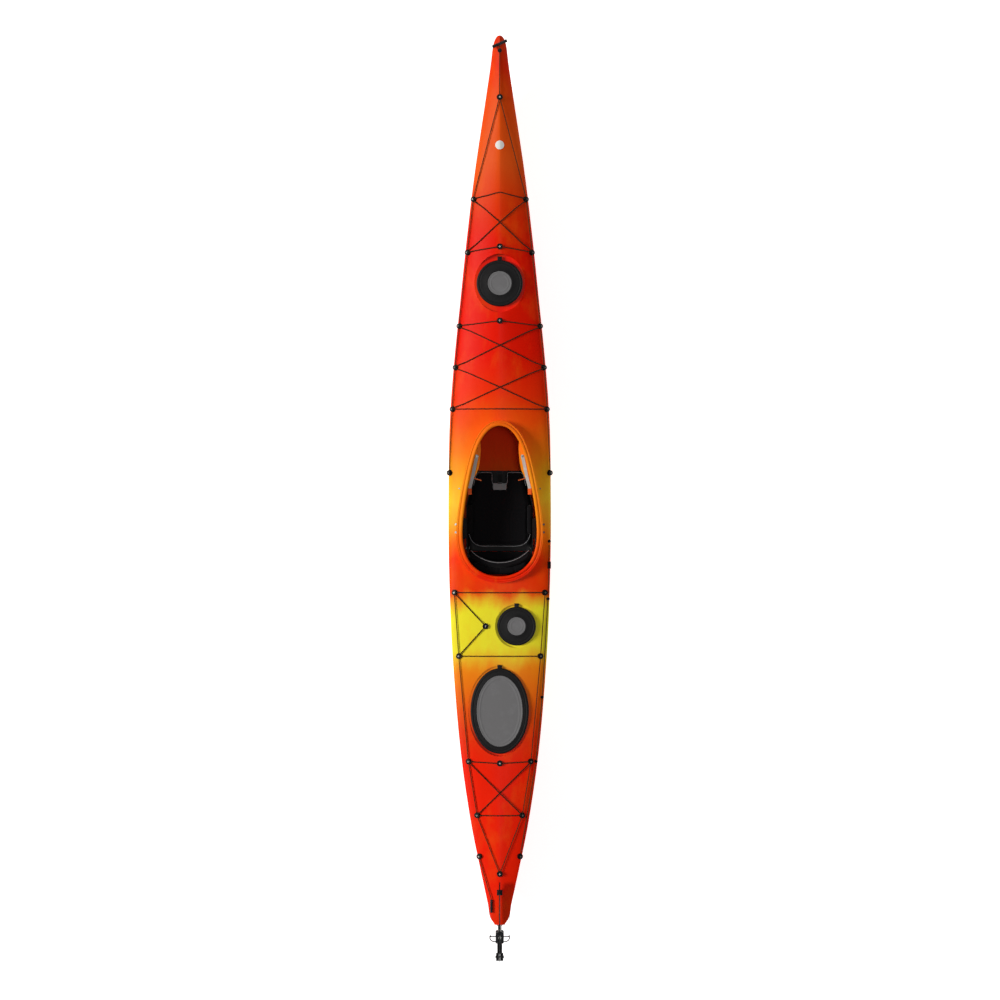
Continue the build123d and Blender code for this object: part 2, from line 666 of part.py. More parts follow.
# Rudder lift line on the starboard side.
stops = [GUIDES[0], CLEAT, *GUIDES[1:], pair("stern_3")[0]]
for x, y in GUIDES:
    plane = deck_plane(x, y)
    add("line_guides", (disc(plane, GUIDE_R, -6, GUIDE_TALL) - grown).solids().sort_by(Axis.Z)[-1])
plane = deck_plane(*CLEAT)
cleat = plane * Pos(0, 0, 3) * Box(16, 40, 18)
cleat = (cleat - grown).solids().sort_by(Axis.Z)[-1]
cleat -= plane * Pos(0, 0, 12) * Box(5, 60, 9)
add("rudder_cleat", cleat)
for a, b in zip(stops, stops[1:]):
    guide = dict(hug=GUIDE_R + FIT, seat=0.6, clear=GUIDE_R + 1)
    if CLEAT in (a, b):
        guide["hug"] = 20.5
        guide["clear"] = 22.0
    if b == stops[-1]:
        guide = dict(hug=FITTING_R + FIT, seat=CORD_GAP, clear=FITTING_R + 4)
    add("rudder_lift_line", cord(laid(a, b, LINE_R, **guide), LINE_R))

# Bow eye, its line and the badge.
eye_plane = deck_plane(0, BOW_EYE_Y)
eye = disc(eye_plane, 12, -9, 4) + eye_plane * Pos(0, 0, 6) * Rot(0, 90, 0) * Torus(6.5, 2.5)
add("bow_eye", (eye - grown).solids().sort_by(Axis.Z)[-1])
line = laid((0, BOW_EYE_Y), CENTRE_FITTINGS["bow_end"], LINE_R, hug=12.3, seat=CORD_GAP, clear=16)
tail = laid(CENTRE_FITTINGS["bow_end"], (0, BOW_EYE_Y), LINE_R)
add("perimeter_lines", cord([*tail[:2], *[p for p in line[::-1] if p.Y > 2200]], LINE_R))
skin = body_of_lines(-FIT - BADGE[2])
add("deck_badge", (post(0, BADGE[0], 300, 500, BADGE[1]) & skin) - grown)

# ---------------------------------------------------------------- toggles
place, half, radius, turn = BOW_GRIP
grip_z = max(deck_top(0, place - 20), deck_top(0, place)) + radius + BOW_GRIP_GAP
across = Vector(math.cos(math.radians(turn)), math.sin(math.radians(turn)), 0)
centre = Vector(0, place, grip_z)
grip = fillet(rod(tuple(centre - across * half), tuple(centre + across * half), radius).edges(), 3)
add("bow_toggle_grip", grip)
hinge_z = (eye_plane.from_local_coords((0, 0, 6))).Z
loop = cord([Vector(0, BOW_EYE_Y + 9.8, hinge_z + 1), Vector(0, place - radius - 1.6, grip_z)], 2)
add("bow_toggle_cord", loop)

x, y, half, radius = STERN_GRIP
ring_at = (-PAIRED_FITTINGS["stern_3"][0], PAIRED_FITTINGS["stern_3"][1])
grip_z = deck_top(abs(x) - 4, y + half) + radius + 2.0
grip = fillet(rod((x, y - half, grip_z), (x, y + half, grip_z), radius).edges(), 3)
add("stern_toggle_grip", grip)
ring_plane = deck_plane(*ring_at)
ring_low = FITTING_BASE + FIT
ring = ring_plane * Pos(0, 0, ring_low + TOGGLE_CORD_R) * Torus(FITTING_BOSS_R + 0.6 + TOGGLE_CORD_R, TOGGLE_CORD_R)
tether = beside(ring_at, (x, y + half), (FITTING_BOSS_R + 2 + TOGGLE_CORD_R, FITTING_R + 4), ring_low + TOGGLE_CORD_R)
ring += cord([*tether, Vector(x, y + half + 1.0, grip_z)], TOGGLE_CORD_R)
add("stern_toggle_cord", ring)

# ---------------------------------------------------------------- seat


def outline(half_front, half, y_front, y_back, z):
    """Seat shape in plan: narrower in front."""
    return make_face(Polyline((-half, y_back, z), (half, y_back, z), (half, PAD_WIDEST_Y, z),
                              (half_front, y_front, z), (-half_front, y_front, z), (-half, PAD_WIDEST_Y, z),
                              close=True))


def upright_edges(shape):
    return shape.edges().filter_by(Axis.Z)


def pan_solid(grow, low, y_back, y_front):
    front_half = PAD_FRONT_HALF + PAN_HALF - PAD_HALF + grow
    block = extrude(outline(front_half, PAN_HALF + grow, y_front, y_back, low), PAN_TOP - low + 20 * (grow == 0))
    return fillet(block.edges().group_by(Axis.Z)[0].filter_by(lambda e: abs((e % 0.5).X) < 0.5), PAN_ROUND)


pan = pan_solid(PAN_WALL, PAN_BASE, *PAN_Y)
pan -= pan_solid(0.0, PAN_BASE + PAN_WALL, PAN_Y[0] - 5, PAN_Y[1] + 5)
hangers, feet = [], []
for sign in (1, -1):
    def at(low, high):
        return tuple(sorted((sign * low, sign * high)))
    feet.append(slab(at(*FOOT_X), (PAN_Y[0] + 10, PAN_Y[1] - 40), (-5, PAN_BASE + 1)))
    hangers.append(slab(at(PAN_HALF, PAN_HALF + PAN_WALL), HANGER_Y, (PAN_TOP - 30, 300)))
    hangers.append(slab(at(PAN_HALF, HANGER_X), HANGER_Y, (HANGER_LOW, 300)))
for piece in (*feet, *hangers):
    pan += piece & lining
ear_y, ear_z = BAND_AXIS
pan -= Pos(0, ear_y, ear_z) * Rot(0, 90, 0) * Cylinder(PIN_R + RUN, 2 * PAN_HALF + 40)
for x in (-BOLT_X, BOLT_X):
    for y in BOLT_Y:
        pan -= disc(deck_plane(x, y), BOLT_R + FIT, -60, 4)
add("seat_pan", pan)

cushion_low = PAN_BASE + PAN_WALL + FIT
cushion = extrude(outline(PAD_FRONT_HALF, PAD_HALF, PAD_Y[1], PAD_Y[0], cushion_low), PAD_TOP - cushion_low)
cushion -= slab((-NOTCH[0], NOTCH[0]), (PAD_Y[1] - NOTCH[1], PAD_Y[1] + 10), (cushion_low - 1, PAD_TOP + 1))
low_side = cushion.edges().group_by(Axis.Z)[0].filter_by(lambda e: abs((e % 0.5).Y) > 0.5 and abs(e.center().X) > 90)
cushion = chamfer(low_side, PAN_ROUND - 7)
cushion = fillet(cushion.edges().group_by(Axis.Z)[-1], 8)
add("seat_pad", cushion)
for side, sign in (("starboard", 1), ("port", -1)):
    faces = tuple(sorted((sign * (PAN_HALF - FIT - HIP_THICK), sign * (PAN_HALF - FIT))))
    hip = slab(faces, HIP_Y, (PAD_TOP + FIT, HIP_TOP))
    hip = fillet(hip.edges(), 9)
    add("hip_pad_" + side, hip)

half, y_back, y_front, thick = LIFTER_TAB
low = PAD_TOP + FIT
tab = fillet(upright_edges(slab((-half, half), (y_back, y_front), (low, low + thick))), 6)
add("leg_lifter_tab", tab)
wide, thick = STRAP
wall_y = PAD_Y[1] - NOTCH[1] + FIT
strap_low = PAN_BASE + PAN_WALL + FIT
strap = slab((-wide, wide), (wall_y, wall_y + thick), (strap_low, low + thick))
strap += slab((-wide, wide), (wall_y, PAD_Y[1] - 12), (strap_low, strap_low + thick))
strap += slab((-wide, wide), (y_front + FIT, wall_y + thick), (low, low + thick))
add("leg_lifter_strap", strap)
buckle = slab((-19, 19), (PAD_Y[1] - 12 + FIT, PAD_Y[1] + 6), (strap_low, strap_low + 4))
buckle -= slab((-13, 13), (PAD_Y[1] - 6, PAD_Y[1] + 1), (strap_low - 1, strap_low + 9))
add("leg_lifter_buckle", fillet(upright_edges(buckle).filter_by(lambda e: abs(e.center().X) > 15), 3))

# ---------------------------------------------------------------- back band
band_centre = BAND_MID_Y + BAND_R


def band(inner, outer_r, z, half):
    """Upright arc of sheet about the band's centre, behind it."""
    ring = post(0, band_centre, z[0], z[1], outer_r) - post(0, band_centre, z[0] - 1, z[1] + 1, inner)
    return ring & slab((-half, half), (band_centre - outer_r - 5, band_centre - 40), z)


pad = band(BAND_R, BAND_R + BAND_THICK, BAND_Z, BAND_HALF - 8)
pad = fillet(pad.edges().group_by(Axis.Z)[-1] + pad.edges().group_by(Axis.Z)[0] + upright_edges(pad), 8)
add("back_band_pad", pad)
frame_in = BAND_R + BAND_THICK + FIT
frame = band(frame_in, frame_in + BAND_FRAME, (BAND_Z[0] + 8, BAND_Z[1] - 22), BAND_HALF - 8)
for sign in (1, -1):
    cheek = tuple(sorted((sign * (BAND_HALF - 1), sign * (PAN_HALF - FIT))))
    side_arm = slab(cheek, (ear_y - 52, ear_y), (ear_z - 10, ear_z + 60))
    side_arm += Pos((cheek[0] + cheek[1]) / 2, ear_y, ear_z) * Rot(0, 90, 0) * Cylinder(BAND_EAR_R, cheek[1] - cheek[0])
    bridge = tuple(sorted((sign * (BAND_HALF - 13), sign * (BAND_HALF + 3))))
    link = slab(bridge, (ear_y - 52, ear_y - 34), (ear_z + 16, ear_z + 60))
    link -= post(0, band_centre, 0, 400, frame_in)
    side_arm -= Pos(0, ear_y, ear_z) * Rot(0, 90, 0) * Cylinder(PIN_R + FIT, 500)
    frame = frame + side_arm + link
    inner_x = sign * (BAND_HALF - 5)
    pin = rod((sign * (BAND_HALF - 1.5), ear_y, ear_z), (sign * (PAN_HALF + PAN_WALL + 4), ear_y, ear_z), PIN_R)
    for x in (BAND_HALF - 4.5, PAN_HALF + PAN_WALL + FIT):
        pin += rod((sign * x, ear_y, ear_z), (sign * (x + 3), ear_y, ear_z), PIN_R + 4)
    add("back_band_pins", pin)
add("back_band_frame", frame)

# ---------------------------------------------------------------- foot braces
low, high = RAIL_Z - RAIL_HALF, RAIL_Z + RAIL_HALF
rail = slab(RAIL_X, RAIL_Y, (low, high))
rail -= slab((T_HEAD[0], T_HEAD[1]), (0, 1000), (RAIL_Z - T_HEAD[2], RAIL_Z + T_HEAD[2]))
rail -= slab((RAIL_X[0] - 1, T_HEAD[0] + 1), (0, 1000), (RAIL_Z - T_NECK, RAIL_Z + T_NECK))
for y in (RAIL_Y[0], RAIL_Y[1] - RAIL_MOUNT):
    rail += slab((RAIL_X[1], RAIL_X[1] + 60), (y, y + RAIL_MOUNT), (low, high)) & lining
bar = slab((T_HEAD[0] + FIT, T_HEAD[1] - FIT), BAR_Y, (RAIL_Z - T_HEAD[2] + FIT, RAIL_Z + T_HEAD[2] - FIT))
bar += slab((BAR_X[1] - 1, T_HEAD[0] + 1), BAR_Y, (RAIL_Z - T_NECK + FIT, RAIL_Z + T_NECK - FIT))
bar += slab(BAR_X, BAR_Y, (RAIL_Z - BAR_HALF, RAIL_Z + BAR_HALF))
bar += rod((SHEATH_PATH[0][0], BAR_Y[0] + 1, RAIL_Z), (SHEATH_PATH[0][0], BAR_Y[0] - 120, RAIL_Z), CABLE_R)
carriage_y = (PEDAL_Y - CARRIAGE / 2, PEDAL_Y + CARRIAGE / 2)
grip_x = (PEDAL_X[1], RAIL_X[0] - FIT - 0.2)
pedal = slab(grip_x, carriage_y, (RAIL_Z - BAR_HALF - 6, RAIL_Z + BAR_HALF + 6))
pedal -= slab((BAR_X[0] - FIT, 300), (0, 1000), (RAIL_Z - BAR_HALF - FIT, RAIL_Z + BAR_HALF + FIT))
plate = slab((PEDAL_X[0], PEDAL_X[1] + 1), (PEDAL_Y, PEDAL_Y + PEDAL_THICK), PEDAL_Z)
plate = fillet(plate.edges().filter_by(Axis.Y), 12)
pedal += plate

# ---------------------------------------------------------------- rudder cables inside the hull
route = FilletPolyline(*SHEATH_PATH, radius=150)
start = Plane(origin=route @ 0, z_dir=route % 0)
sheath = sweep(start * Circle(SHEATH_R), route) - sweep(start * Circle(SHEATH_BORE), route)
passage = sweep(start * Circle(SHEATH_R + FIT), route)
passages = [passage, mirrored(passage)]
exit_point, heading = route @ 1, route % 1
cable_start = exit_point - heading * 30
tip_point = Vector(CABLE_END[0], CABLE_END[1], CABLE_Z)
cable = cord([cable_start, exit_point + heading * 4, tip_point], CABLE_R)
for side, flip in (("starboard", lambda shape: shape), ("port", mirrored)):
    add("foot_rails", flip(rail))
    add("foot_slider_" + side, flip(bar))
    add("foot_pedal_" + side, flip(pedal))
    add("cable_sheaths", flip(sheath))
    add("rudder_cables", flip(cable))

for name, y in BULKHEADS.items():
    block = lining & slab((-320, 320), (y, y + BULKHEAD_THICK), (-20, 450))
    add(name, block - passages if y < 0 else block)

# ---------------------------------------------------------------- shells
hull_shell -= passages
deck_shell -= drills
add("hull_shell", hull_shell)
add("deck_shell", deck_shell)

# ---------------------------------------------------------------- rudder
stern_half = faired(SHARE, -1) * BEAM / 2
bracket = slab((-17, 17), (-HALF - 5.3, -HALF - FIT), (LUG_Z[0] - 12, LUG_Z[1] + 10))
bracket += slab((-LUG_HALF, LUG_HALF), (STEER_Y, -HALF - 5), LUG_Z)
bracket += post(0, STEER_Y, *LUG_Z, LUG_R)
bracket -= post(0, STEER_Y, LUG_Z[0] - 1, LUG_Z[1] + 1, PIN_R + RUN)
add("rudder_bracket", bracket)
for x in (-11, 11):
    z = LUG_Z[1] + 5
    add("fitting_screws", rod((x, -HALF - 5.6, z), (x, -HALF - 7.6, z), 3.2))

yoke = slab((-YOKE_HALF, YOKE_HALF), YOKE_Y, YOKE_Z)
yoke = fillet(upright_edges(yoke), 9)
yoke -= slab((-60, 60), (YOKE_Y[0] + YOKE_BACK, YOKE_Y[1] + 5), (LUG_Z[0] - 0.5, LUG_Z[1] + 0.5))
yoke -= post(0, STEER_Y, 0, 400, PIN_R + FIT)
neck = [(YOKE_Y[0] + 3, 258), (YOKE_Y[0] + 3, 296), (-2640, 306), (-2662, 312), (FLIP_Y + 8, FLIP_Z + 18),
        (FLIP_Y - 18, FLIP_Z + 8), (FLIP_Y - 6, FLIP_Z - 30), (-2650, 258)]
fork = extrude(make_face(Polyline(*[(0, y, z) for y, z in neck], close=True)), CHEEK_OUT, both=True)
fork += rod((-BOSS_OUT, FLIP_Y, FLIP_Z), (BOSS_OUT, FLIP_Y, FLIP_Z), BOSS_R)
slot = BLADE_THICK / 2 + CHEEK_GAP
fork -= rod((-slot, FLIP_Y, FLIP_Z), (slot, FLIP_Y, FLIP_Z), SWEEP_R)
fork -= rod((-50, FLIP_Y, FLIP_Z), (50, FLIP_Y, FLIP_Z), FLIP_PIN_R + FIT)
yoke += fork
add("rudder_yoke", yoke)
pin = post(0, STEER_Y, YOKE_Z[0] - 3, YOKE_Z[1] + 1, PIN_R)
pin += post(0, STEER_Y, YOKE_Z[1] + FIT, YOKE_Z[1] + 4, PIN_R + 4)
pin += post(0, STEER_Y, YOKE_Z[0] - 4, YOKE_Z[0] - FIT, PIN_R + 3)
add("rudder_pin", pin)
bolt = rod((-BOSS_OUT - 2, FLIP_Y, FLIP_Z), (BOSS_OUT + 2, FLIP_Y, FLIP_Z), FLIP_PIN_R)
for sign in (1, -1):
    bolt += rod((sign * (BOSS_OUT + FIT), FLIP_Y, FLIP_Z), (sign * (BOSS_OUT + 4), FLIP_Y, FLIP_Z), FLIP_PIN_R + 4)
add("flip_bolt", bolt)

arms = slab((-ARM_REACH - 4, ARM_REACH + 4), (STEER_Y, STEER_Y + 10), ARM_Z) - yoke
for side, sign in (("starboard", 1), ("port", -1)):
    wing = [s for s in arms.solids() if s.center().X * sign > 0][0]
    tip = [(sign * (ARM_REACH - 1), STEER_Y - FIT, CABLE_Z), (sign * (ARM_REACH - 6), STEER_Y - 22, CABLE_Z),
           (sign * (YOKE_HALF + 6), YOKE_Y[0] + 8, CABLE_Z), (sign * (YOKE_HALF + 1), YOKE_Y[0] + 7, CABLE_Z)]
    add("steering_arms", wing)
    add("steering_arms", cord([Vector(*p) for p in tip], LOOP_R))
blade_line = [(-30, -14), (-18, BLADE_ROOT - 2), (BLADE_STEP[0], BLADE_ROOT), (BLADE_STEP[1], BLADE_LEAD),
              (BLADE_LONG - 60, BLADE_LEAD - 6), (BLADE_LONG - 14, BLADE_LEAD - 28), (BLADE_LONG, 8),
              (BLADE_LONG - 10, -14), (BLADE_LONG - 60, -BLADE_ROOT), (-18, -BLADE_ROOT)]
profile = make_face(Polyline(*[(0, FLIP_Y + y, FLIP_Z + z) for y, z in blade_line], close=True))
blade = extrude(profile, BLADE_THICK / 2, both=True)
blade = fillet(blade.edges().filter_by(Axis.X), 7)
blade -= rod((-50, FLIP_Y, FLIP_Z), (50, FLIP_Y, FLIP_Z), FLIP_PIN_R + RUN)
add("rudder_blade", blade)
half, y_back, y_front = CHOCK
chock = slab((-half, half), (y_back, y_front), (270, FLIP_Z - BLADE_ROOT - 0.4)) - grown
add("rudder_chock", chock.solids().sort_by(Axis.Z)[-1])


os.makedirs("parts", exist_ok=True)
for name, solids in parts.items():
    shape = solids[0] if len(solids) == 1 else Compound(children=solids)
    export_step(shape, f"parts/{name}.step")
    print(name, len(solids), round(sum(s.volume for s in solids) / 1000), "cm3")
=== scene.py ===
"""Touring sea kayak: the looks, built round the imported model."""
import bpy
import json
import math
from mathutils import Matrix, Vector, noise


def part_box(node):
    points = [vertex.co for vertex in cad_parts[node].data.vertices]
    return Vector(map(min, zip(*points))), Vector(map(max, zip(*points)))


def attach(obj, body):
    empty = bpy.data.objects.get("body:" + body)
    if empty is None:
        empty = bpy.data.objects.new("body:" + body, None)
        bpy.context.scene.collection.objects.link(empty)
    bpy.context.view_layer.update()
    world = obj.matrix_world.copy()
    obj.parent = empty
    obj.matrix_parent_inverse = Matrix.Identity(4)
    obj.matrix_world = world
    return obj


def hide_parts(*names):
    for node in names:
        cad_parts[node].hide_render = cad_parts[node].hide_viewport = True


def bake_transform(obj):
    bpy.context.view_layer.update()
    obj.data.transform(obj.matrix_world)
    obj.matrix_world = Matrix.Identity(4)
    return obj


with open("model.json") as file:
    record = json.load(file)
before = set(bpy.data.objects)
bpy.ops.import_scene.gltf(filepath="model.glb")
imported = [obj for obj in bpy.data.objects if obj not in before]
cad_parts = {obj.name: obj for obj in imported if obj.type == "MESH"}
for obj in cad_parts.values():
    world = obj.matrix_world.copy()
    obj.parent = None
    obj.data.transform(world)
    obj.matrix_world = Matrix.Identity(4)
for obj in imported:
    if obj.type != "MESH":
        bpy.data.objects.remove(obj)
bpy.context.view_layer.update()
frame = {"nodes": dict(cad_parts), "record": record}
nodes = frame["nodes"]


# ------------------------------------------------------------------ camera, floor and light
def studio_sun(toward, strength, spread, colour):
    """Broad, even light from one side of the boat."""
    data = bpy.data.lights.new("softbox", "SUN")
    data.energy, data.angle, data.color = strength, math.radians(spread), colour
    lamp = bpy.data.objects.new("softbox", data)
    lamp.rotation_euler = Vector(toward).to_track_quat("-Z", "Y").to_euler()
    bpy.context.scene.collection.objects.link(lamp)


VIEW_WIDE = 5.675          # metres across the picture, at deck height
DECK_HIGH = 0.3
CAMERA_HIGH = 16.0
CAMERA_OVER = (0.0017, -0.103)
SENSOR = 36
camera_data = bpy.data.cameras.new("camera")
camera_data.sensor_width = SENSOR
camera_data.lens = SENSOR * (CAMERA_HIGH - DECK_HIGH) / VIEW_WIDE
camera_data.clip_end = 100
camera = bpy.data.objects.new("camera", camera_data)
camera.location = (*CAMERA_OVER, CAMERA_HIGH)
bpy.context.scene.collection.objects.link(camera)
bpy.context.scene.camera = camera

FILL = 0.13                # even light from all round
studio_sun((0.80, -0.10, -0.62), 2.62, 22, (1.0, 0.985, 0.96))   # from port
studio_sun((-0.06, 0.02, -1.0), 0.55, 10, (1.0, 1.0, 1.0))       # from above
world = bpy.data.worlds.new("world")
world.use_nodes = True
world.node_tree.nodes["Background"].inputs["Color"].default_value = (1.0, 1.0, 1.0, 1)
world.node_tree.nodes["Background"].inputs["Strength"].default_value = FILL
bpy.context.scene.world = world
bpy.context.scene.view_settings.view_transform = "Standard"

bpy.ops.object.select_all(action="DESELECT")
bpy.ops.mesh.primitive_plane_add(size=400, location=(0, 0, 0))
floor = bpy.context.object
floor.name = "floor"
bpy.ops.object.transform_apply(location=True, rotation=True, scale=True)


# ------------------------------------------------------------------ finishes
class Wire:
    """A socket, or a number, that does shader maths."""

    def __init__(self, finish, socket):
        self.finish, self.socket = finish, socket

    def maths(self, operation, *others, swap=False):
        values = [self, *others]
        if swap:
            values.reverse()
        return self.finish.node("ShaderNodeMath", {"operation": operation},
                                {i: v for i, v in enumerate(values)})[0]

    def __add__(self, other): return self.maths("ADD", other)
    def __sub__(self, other): return self.maths("SUBTRACT", other)
    def __mul__(self, other): return self.maths("MULTIPLY", other)
    def __truediv__(self, other): return self.maths("DIVIDE", other)
    def __rsub__(self, other): return self.maths("SUBTRACT", other, swap=True)
    def __gt__(self, other): return self.maths("GREATER_THAN", other)
    __radd__, __rmul__ = __add__, __mul__

    def clamped(self):
        return self.maths("MINIMUM", 1.0).maths("MAXIMUM", 0.0)


def linear(red, green, blue):
    """Display colour, 0 to 255, as a scene colour."""
    def one(v):
        v /= 255
        return v / 12.92 if v <= 0.04045 else ((v + 0.055) / 1.055) ** 2.4
    return one(red), one(green), one(blue), 1.0


class Finish:
    """A material, built node by node."""

    def __init__(self, name, **sockets):
        self.material = bpy.data.materials.new(name)
        self.material.use_nodes = True
        self.tree = self.material.node_tree
        self.tree.nodes.clear()
        self.shader = self.make("ShaderNodeBsdfPrincipled", {}, {})
        out = self.make("ShaderNodeOutputMaterial", {}, {})
        self.tree.links.new(self.shader.outputs[0], out.inputs[0])
        self.place = Wire(self, self.make("ShaderNodeTexCoord", {}, {}).outputs["Object"])
        self.set(**sockets)

    def make(self, kind, settings, values):
        new = self.tree.nodes.new(kind)
        for key, value in settings.items():
            if key == "stops":
                ramp = new.color_ramp
                while len(ramp.elements) > 1:
                    ramp.elements.remove(ramp.elements[-1])
                ramp.elements[0].position, ramp.elements[0].color = value[0]
                for position, colour in value[1:]:
                    ramp.elements.new(position).color = colour
            else:
                setattr(new, key, value)
        for key, value in values.items():
            if isinstance(value, Wire):
                self.tree.links.new(value.socket, new.inputs[key])
            else:
                new.inputs[key].default_value = value
        return new

    def node(self, kind, settings=None, values=None):
        """Outputs of a new node, as wires."""
        new = self.make(kind, settings or {}, values or {})
        return [Wire(self, out) for out in new.outputs]

    def set(self, **sockets):
        for key, value in sockets.items():
            name = key.replace("_", " ").title()
            name = name.replace("Ior", "IOR")
            if isinstance(value, Wire):
                self.tree.links.new(value.socket, self.shader.inputs[name])
            else:
                self.shader.inputs[name].default_value = value
        return self

    def axes(self):
        return self.node("ShaderNodeSeparateXYZ", {}, {0: self.place})

    def noise(self, scale, detail=4.0, rough=0.55, stretch=None):
        where = self.place
        if stretch:
            where = self.node("ShaderNodeMapping", {}, {"Vector": self.place, "Scale": stretch})[0]
        values = {"Vector": where, "Scale": scale, "Detail": detail, "Roughness": rough}
        return self.node("ShaderNodeTexNoise", {}, values)[0]

    def cells(self, scale):
        return self.node("ShaderNodeTexVoronoi", {}, {"Vector": self.place, "Scale": scale})[0]

    def mix(self, share, first, second):
        new = self.make("ShaderNodeMix", {"data_type": "RGBA"}, {})
        for key, value in ((0, share), (6, first), (7, second)):
            if isinstance(value, Wire):
                self.tree.links.new(value.socket, new.inputs[key])
            else:
                new.inputs[key].default_value = value
        return Wire(self, new.outputs[2])

    def ramp(self, value, stops):
        return self.node("ShaderNodeValToRGB", {"stops": stops}, {"Fac": value})[0]

    def relief(self, height, depth):
        values = {"Height": height, "Distance": depth, "Strength": 1.0}
        self.set(normal=self.node("ShaderNodeBump", {}, values)[0])


BOW, STERN = 2.515, -2.515
BLEND = [   # place along the boat in metres, display colour of the moulded plastic
    (2.515, (200, 22, 10)), (2.33, (226, 40, 4)), (2.17, (228, 74, 14)), (1.80, (228, 84, 22)),
    (1.62, (226, 62, 10)), (1.50, (228, 46, 4)), (1.38, (230, 24, 2)), (0.72, (236, 24, 2)),
    (0.50, (244, 50, 6)), (0.34, (246, 80, 8)), (0.14, (242, 124, 18)), (0.02, (238, 170, 30)),
    (-0.10, (238, 196, 44)), (-0.24, (236, 172, 40)), (-0.35, (242, 114, 10)), (-0.45, (240, 52, 2)),
    (-0.62, (238, 58, 4)), (-0.665, (240, 172, 36)), (-0.72, (242, 230, 44)), (-0.95, (240, 228, 46)),
    (-1.01, (240, 184, 40)), (-1.07, (242, 134, 18)), (-1.30, (232, 84, 14)), (-1.45, (228, 50, 10)),
    (-1.62, (242, 32, 2)), (-2.40, (242, 32, 2)), (-2.515, (228, 42, 8)),
]


DEEP_RED, DARK_SPECK = linear(206, 14, 0), linear(120, 10, 2)
SHEEN = 0.045              # how strongly the moulded skin mirrors the lights


def along(finish, wander, fine):
    """0 at the bow, 1 at the stern, with the edge of each colour wandering."""
    y = finish.axes()[1]
    broad = finish.noise(3.2, 3.0, 0.6, stretch=(1.6, 0.7, 1.6))
    grain = finish.noise(260.0, 2.0, 0.7)
    shifted = y + (broad - 0.5) * wander + (grain - 0.5) * fine
    return (BOW - shifted) / (BOW - STERN)


def blended_plastic(name, stops, glow, inside=None):
    """Moulded plastic whose colours run into each other along the boat.

    Faces that look up take the inside colour, where one is given, as painted shade on the hull's inside, and
    are duller.
    """
    finish = Finish(name, roughness=0.3, ior=1.5, specular_ior_level=SHEEN)
    place = along(finish, 0.20, 0.05)
    colour = finish.ramp(place, [((BOW - y) / (BOW - STERN), linear(*c)) for y, c in stops])
    streak = finish.noise(4.5, 6.0, 0.62, stretch=(1.5, 0.7, 1.5))
    speck = finish.noise(420.0, 2.0, 0.6)
    patch = ((streak - 0.50) * 3.0).clamped()
    deep = ((0.47 - streak) * 3.0).clamped()
    colour = finish.mix(patch * 0.42, colour, linear(*glow))
    colour = finish.mix(deep * 0.26, colour, DEEP_RED)
    colour = finish.mix(((speck - 0.56) * 4).clamped() * 0.16, colour, DARK_SPECK)
    scuff = finish.noise(60.0, 8.0, 0.7, stretch=(1, 0.12, 1))
    rough = 0.30 + scuff * 0.16 + (speck - 0.5) * 0.1
    # painted shade: upward faces, the hull's inside, take the darker inside colour; the added roughness is the
    # duller inside skin
    if inside:
        normal = finish.node("ShaderNodeNewGeometry")[1]
        upward = finish.node("ShaderNodeSeparateXYZ", {}, {0: normal})[2]
        within = ((upward - 0.02) * 40).clamped()
        colour = finish.mix(within * 0.86, colour, linear(*inside))
        rough = rough + within * 0.3
    finish.set(base_color=colour, roughness=rough)
    orange_peel = finish.noise(150.0, 3.0, 0.5)
    finish.relief(orange_peel + (scuff > 0.67) * -0.15, 0.0006)
    return finish.material


def moulded(name, colour, rough=0.5, grain=900.0, depth=0.0004, worn=None, shine=0.22):
    """Moulded plastic or rubber with a fine texture and paler, worn patches."""
    finish = Finish(name, roughness=rough, specular_ior_level=shine)
    fine = finish.cells(grain)
    broad = finish.noise(18.0, 6.0, 0.6)
    dust = ((broad - 0.5) * 3).clamped()
    pale = worn or tuple(min(255, c * 1.5 + 14) for c in colour)
    finish.set(base_color=finish.mix(dust * 0.45 + fine * 0.1, linear(*colour), linear(*pale)),
               roughness=rough - 0.06 + broad * 0.16)
    finish.relief(fine, depth)
    return finish.material


def metal(name, colour, rough, brush=(1, 1, 14)):
    """Bare metal, brushed along one axis."""
    finish = Finish(name, metallic=1.0, roughness=rough)
    line = finish.noise(160.0, 6.0, 0.7, stretch=brush)
    smear = finish.noise(14.0, 4.0, 0.6)
    dark = tuple(c * 0.72 for c in colour)
    blotch = (line * 0.5 + smear * 0.5).clamped()
    finish.set(base_color=finish.mix(blotch, linear(*dark), linear(*colour)),
               roughness=rough - 0.08 + line * 0.18)
    finish.relief(line, 0.0001)
    return finish.material


def woven(name, colour, second, size=900.0, sheen=0.3, rough=0.85, depth=0.0005):
    """Cloth or braid: a basket of crossing threads."""
    finish = Finish(name, roughness=rough, sheen_weight=sheen, specular_ior_level=0.15)
    x, y, z = finish.axes()
    across = ((x + z * 0.6) * size).maths("SINE")
    over = ((y + z * 0.8) * size).maths("SINE")
    weave = (across * over) * 0.5 + 0.5
    fibre = finish.noise(700.0, 3.0, 0.7)
    broad = finish.noise(12.0, 4.0, 0.6)
    share = (weave * 0.55 + fibre * 0.3 + broad * 0.35 - 0.2).clamped()
    finish.set(base_color=finish.mix(share, linear(*colour), linear(*second)))
    finish.relief(weave * 0.7 + fibre * 0.3, depth)
    return finish.material


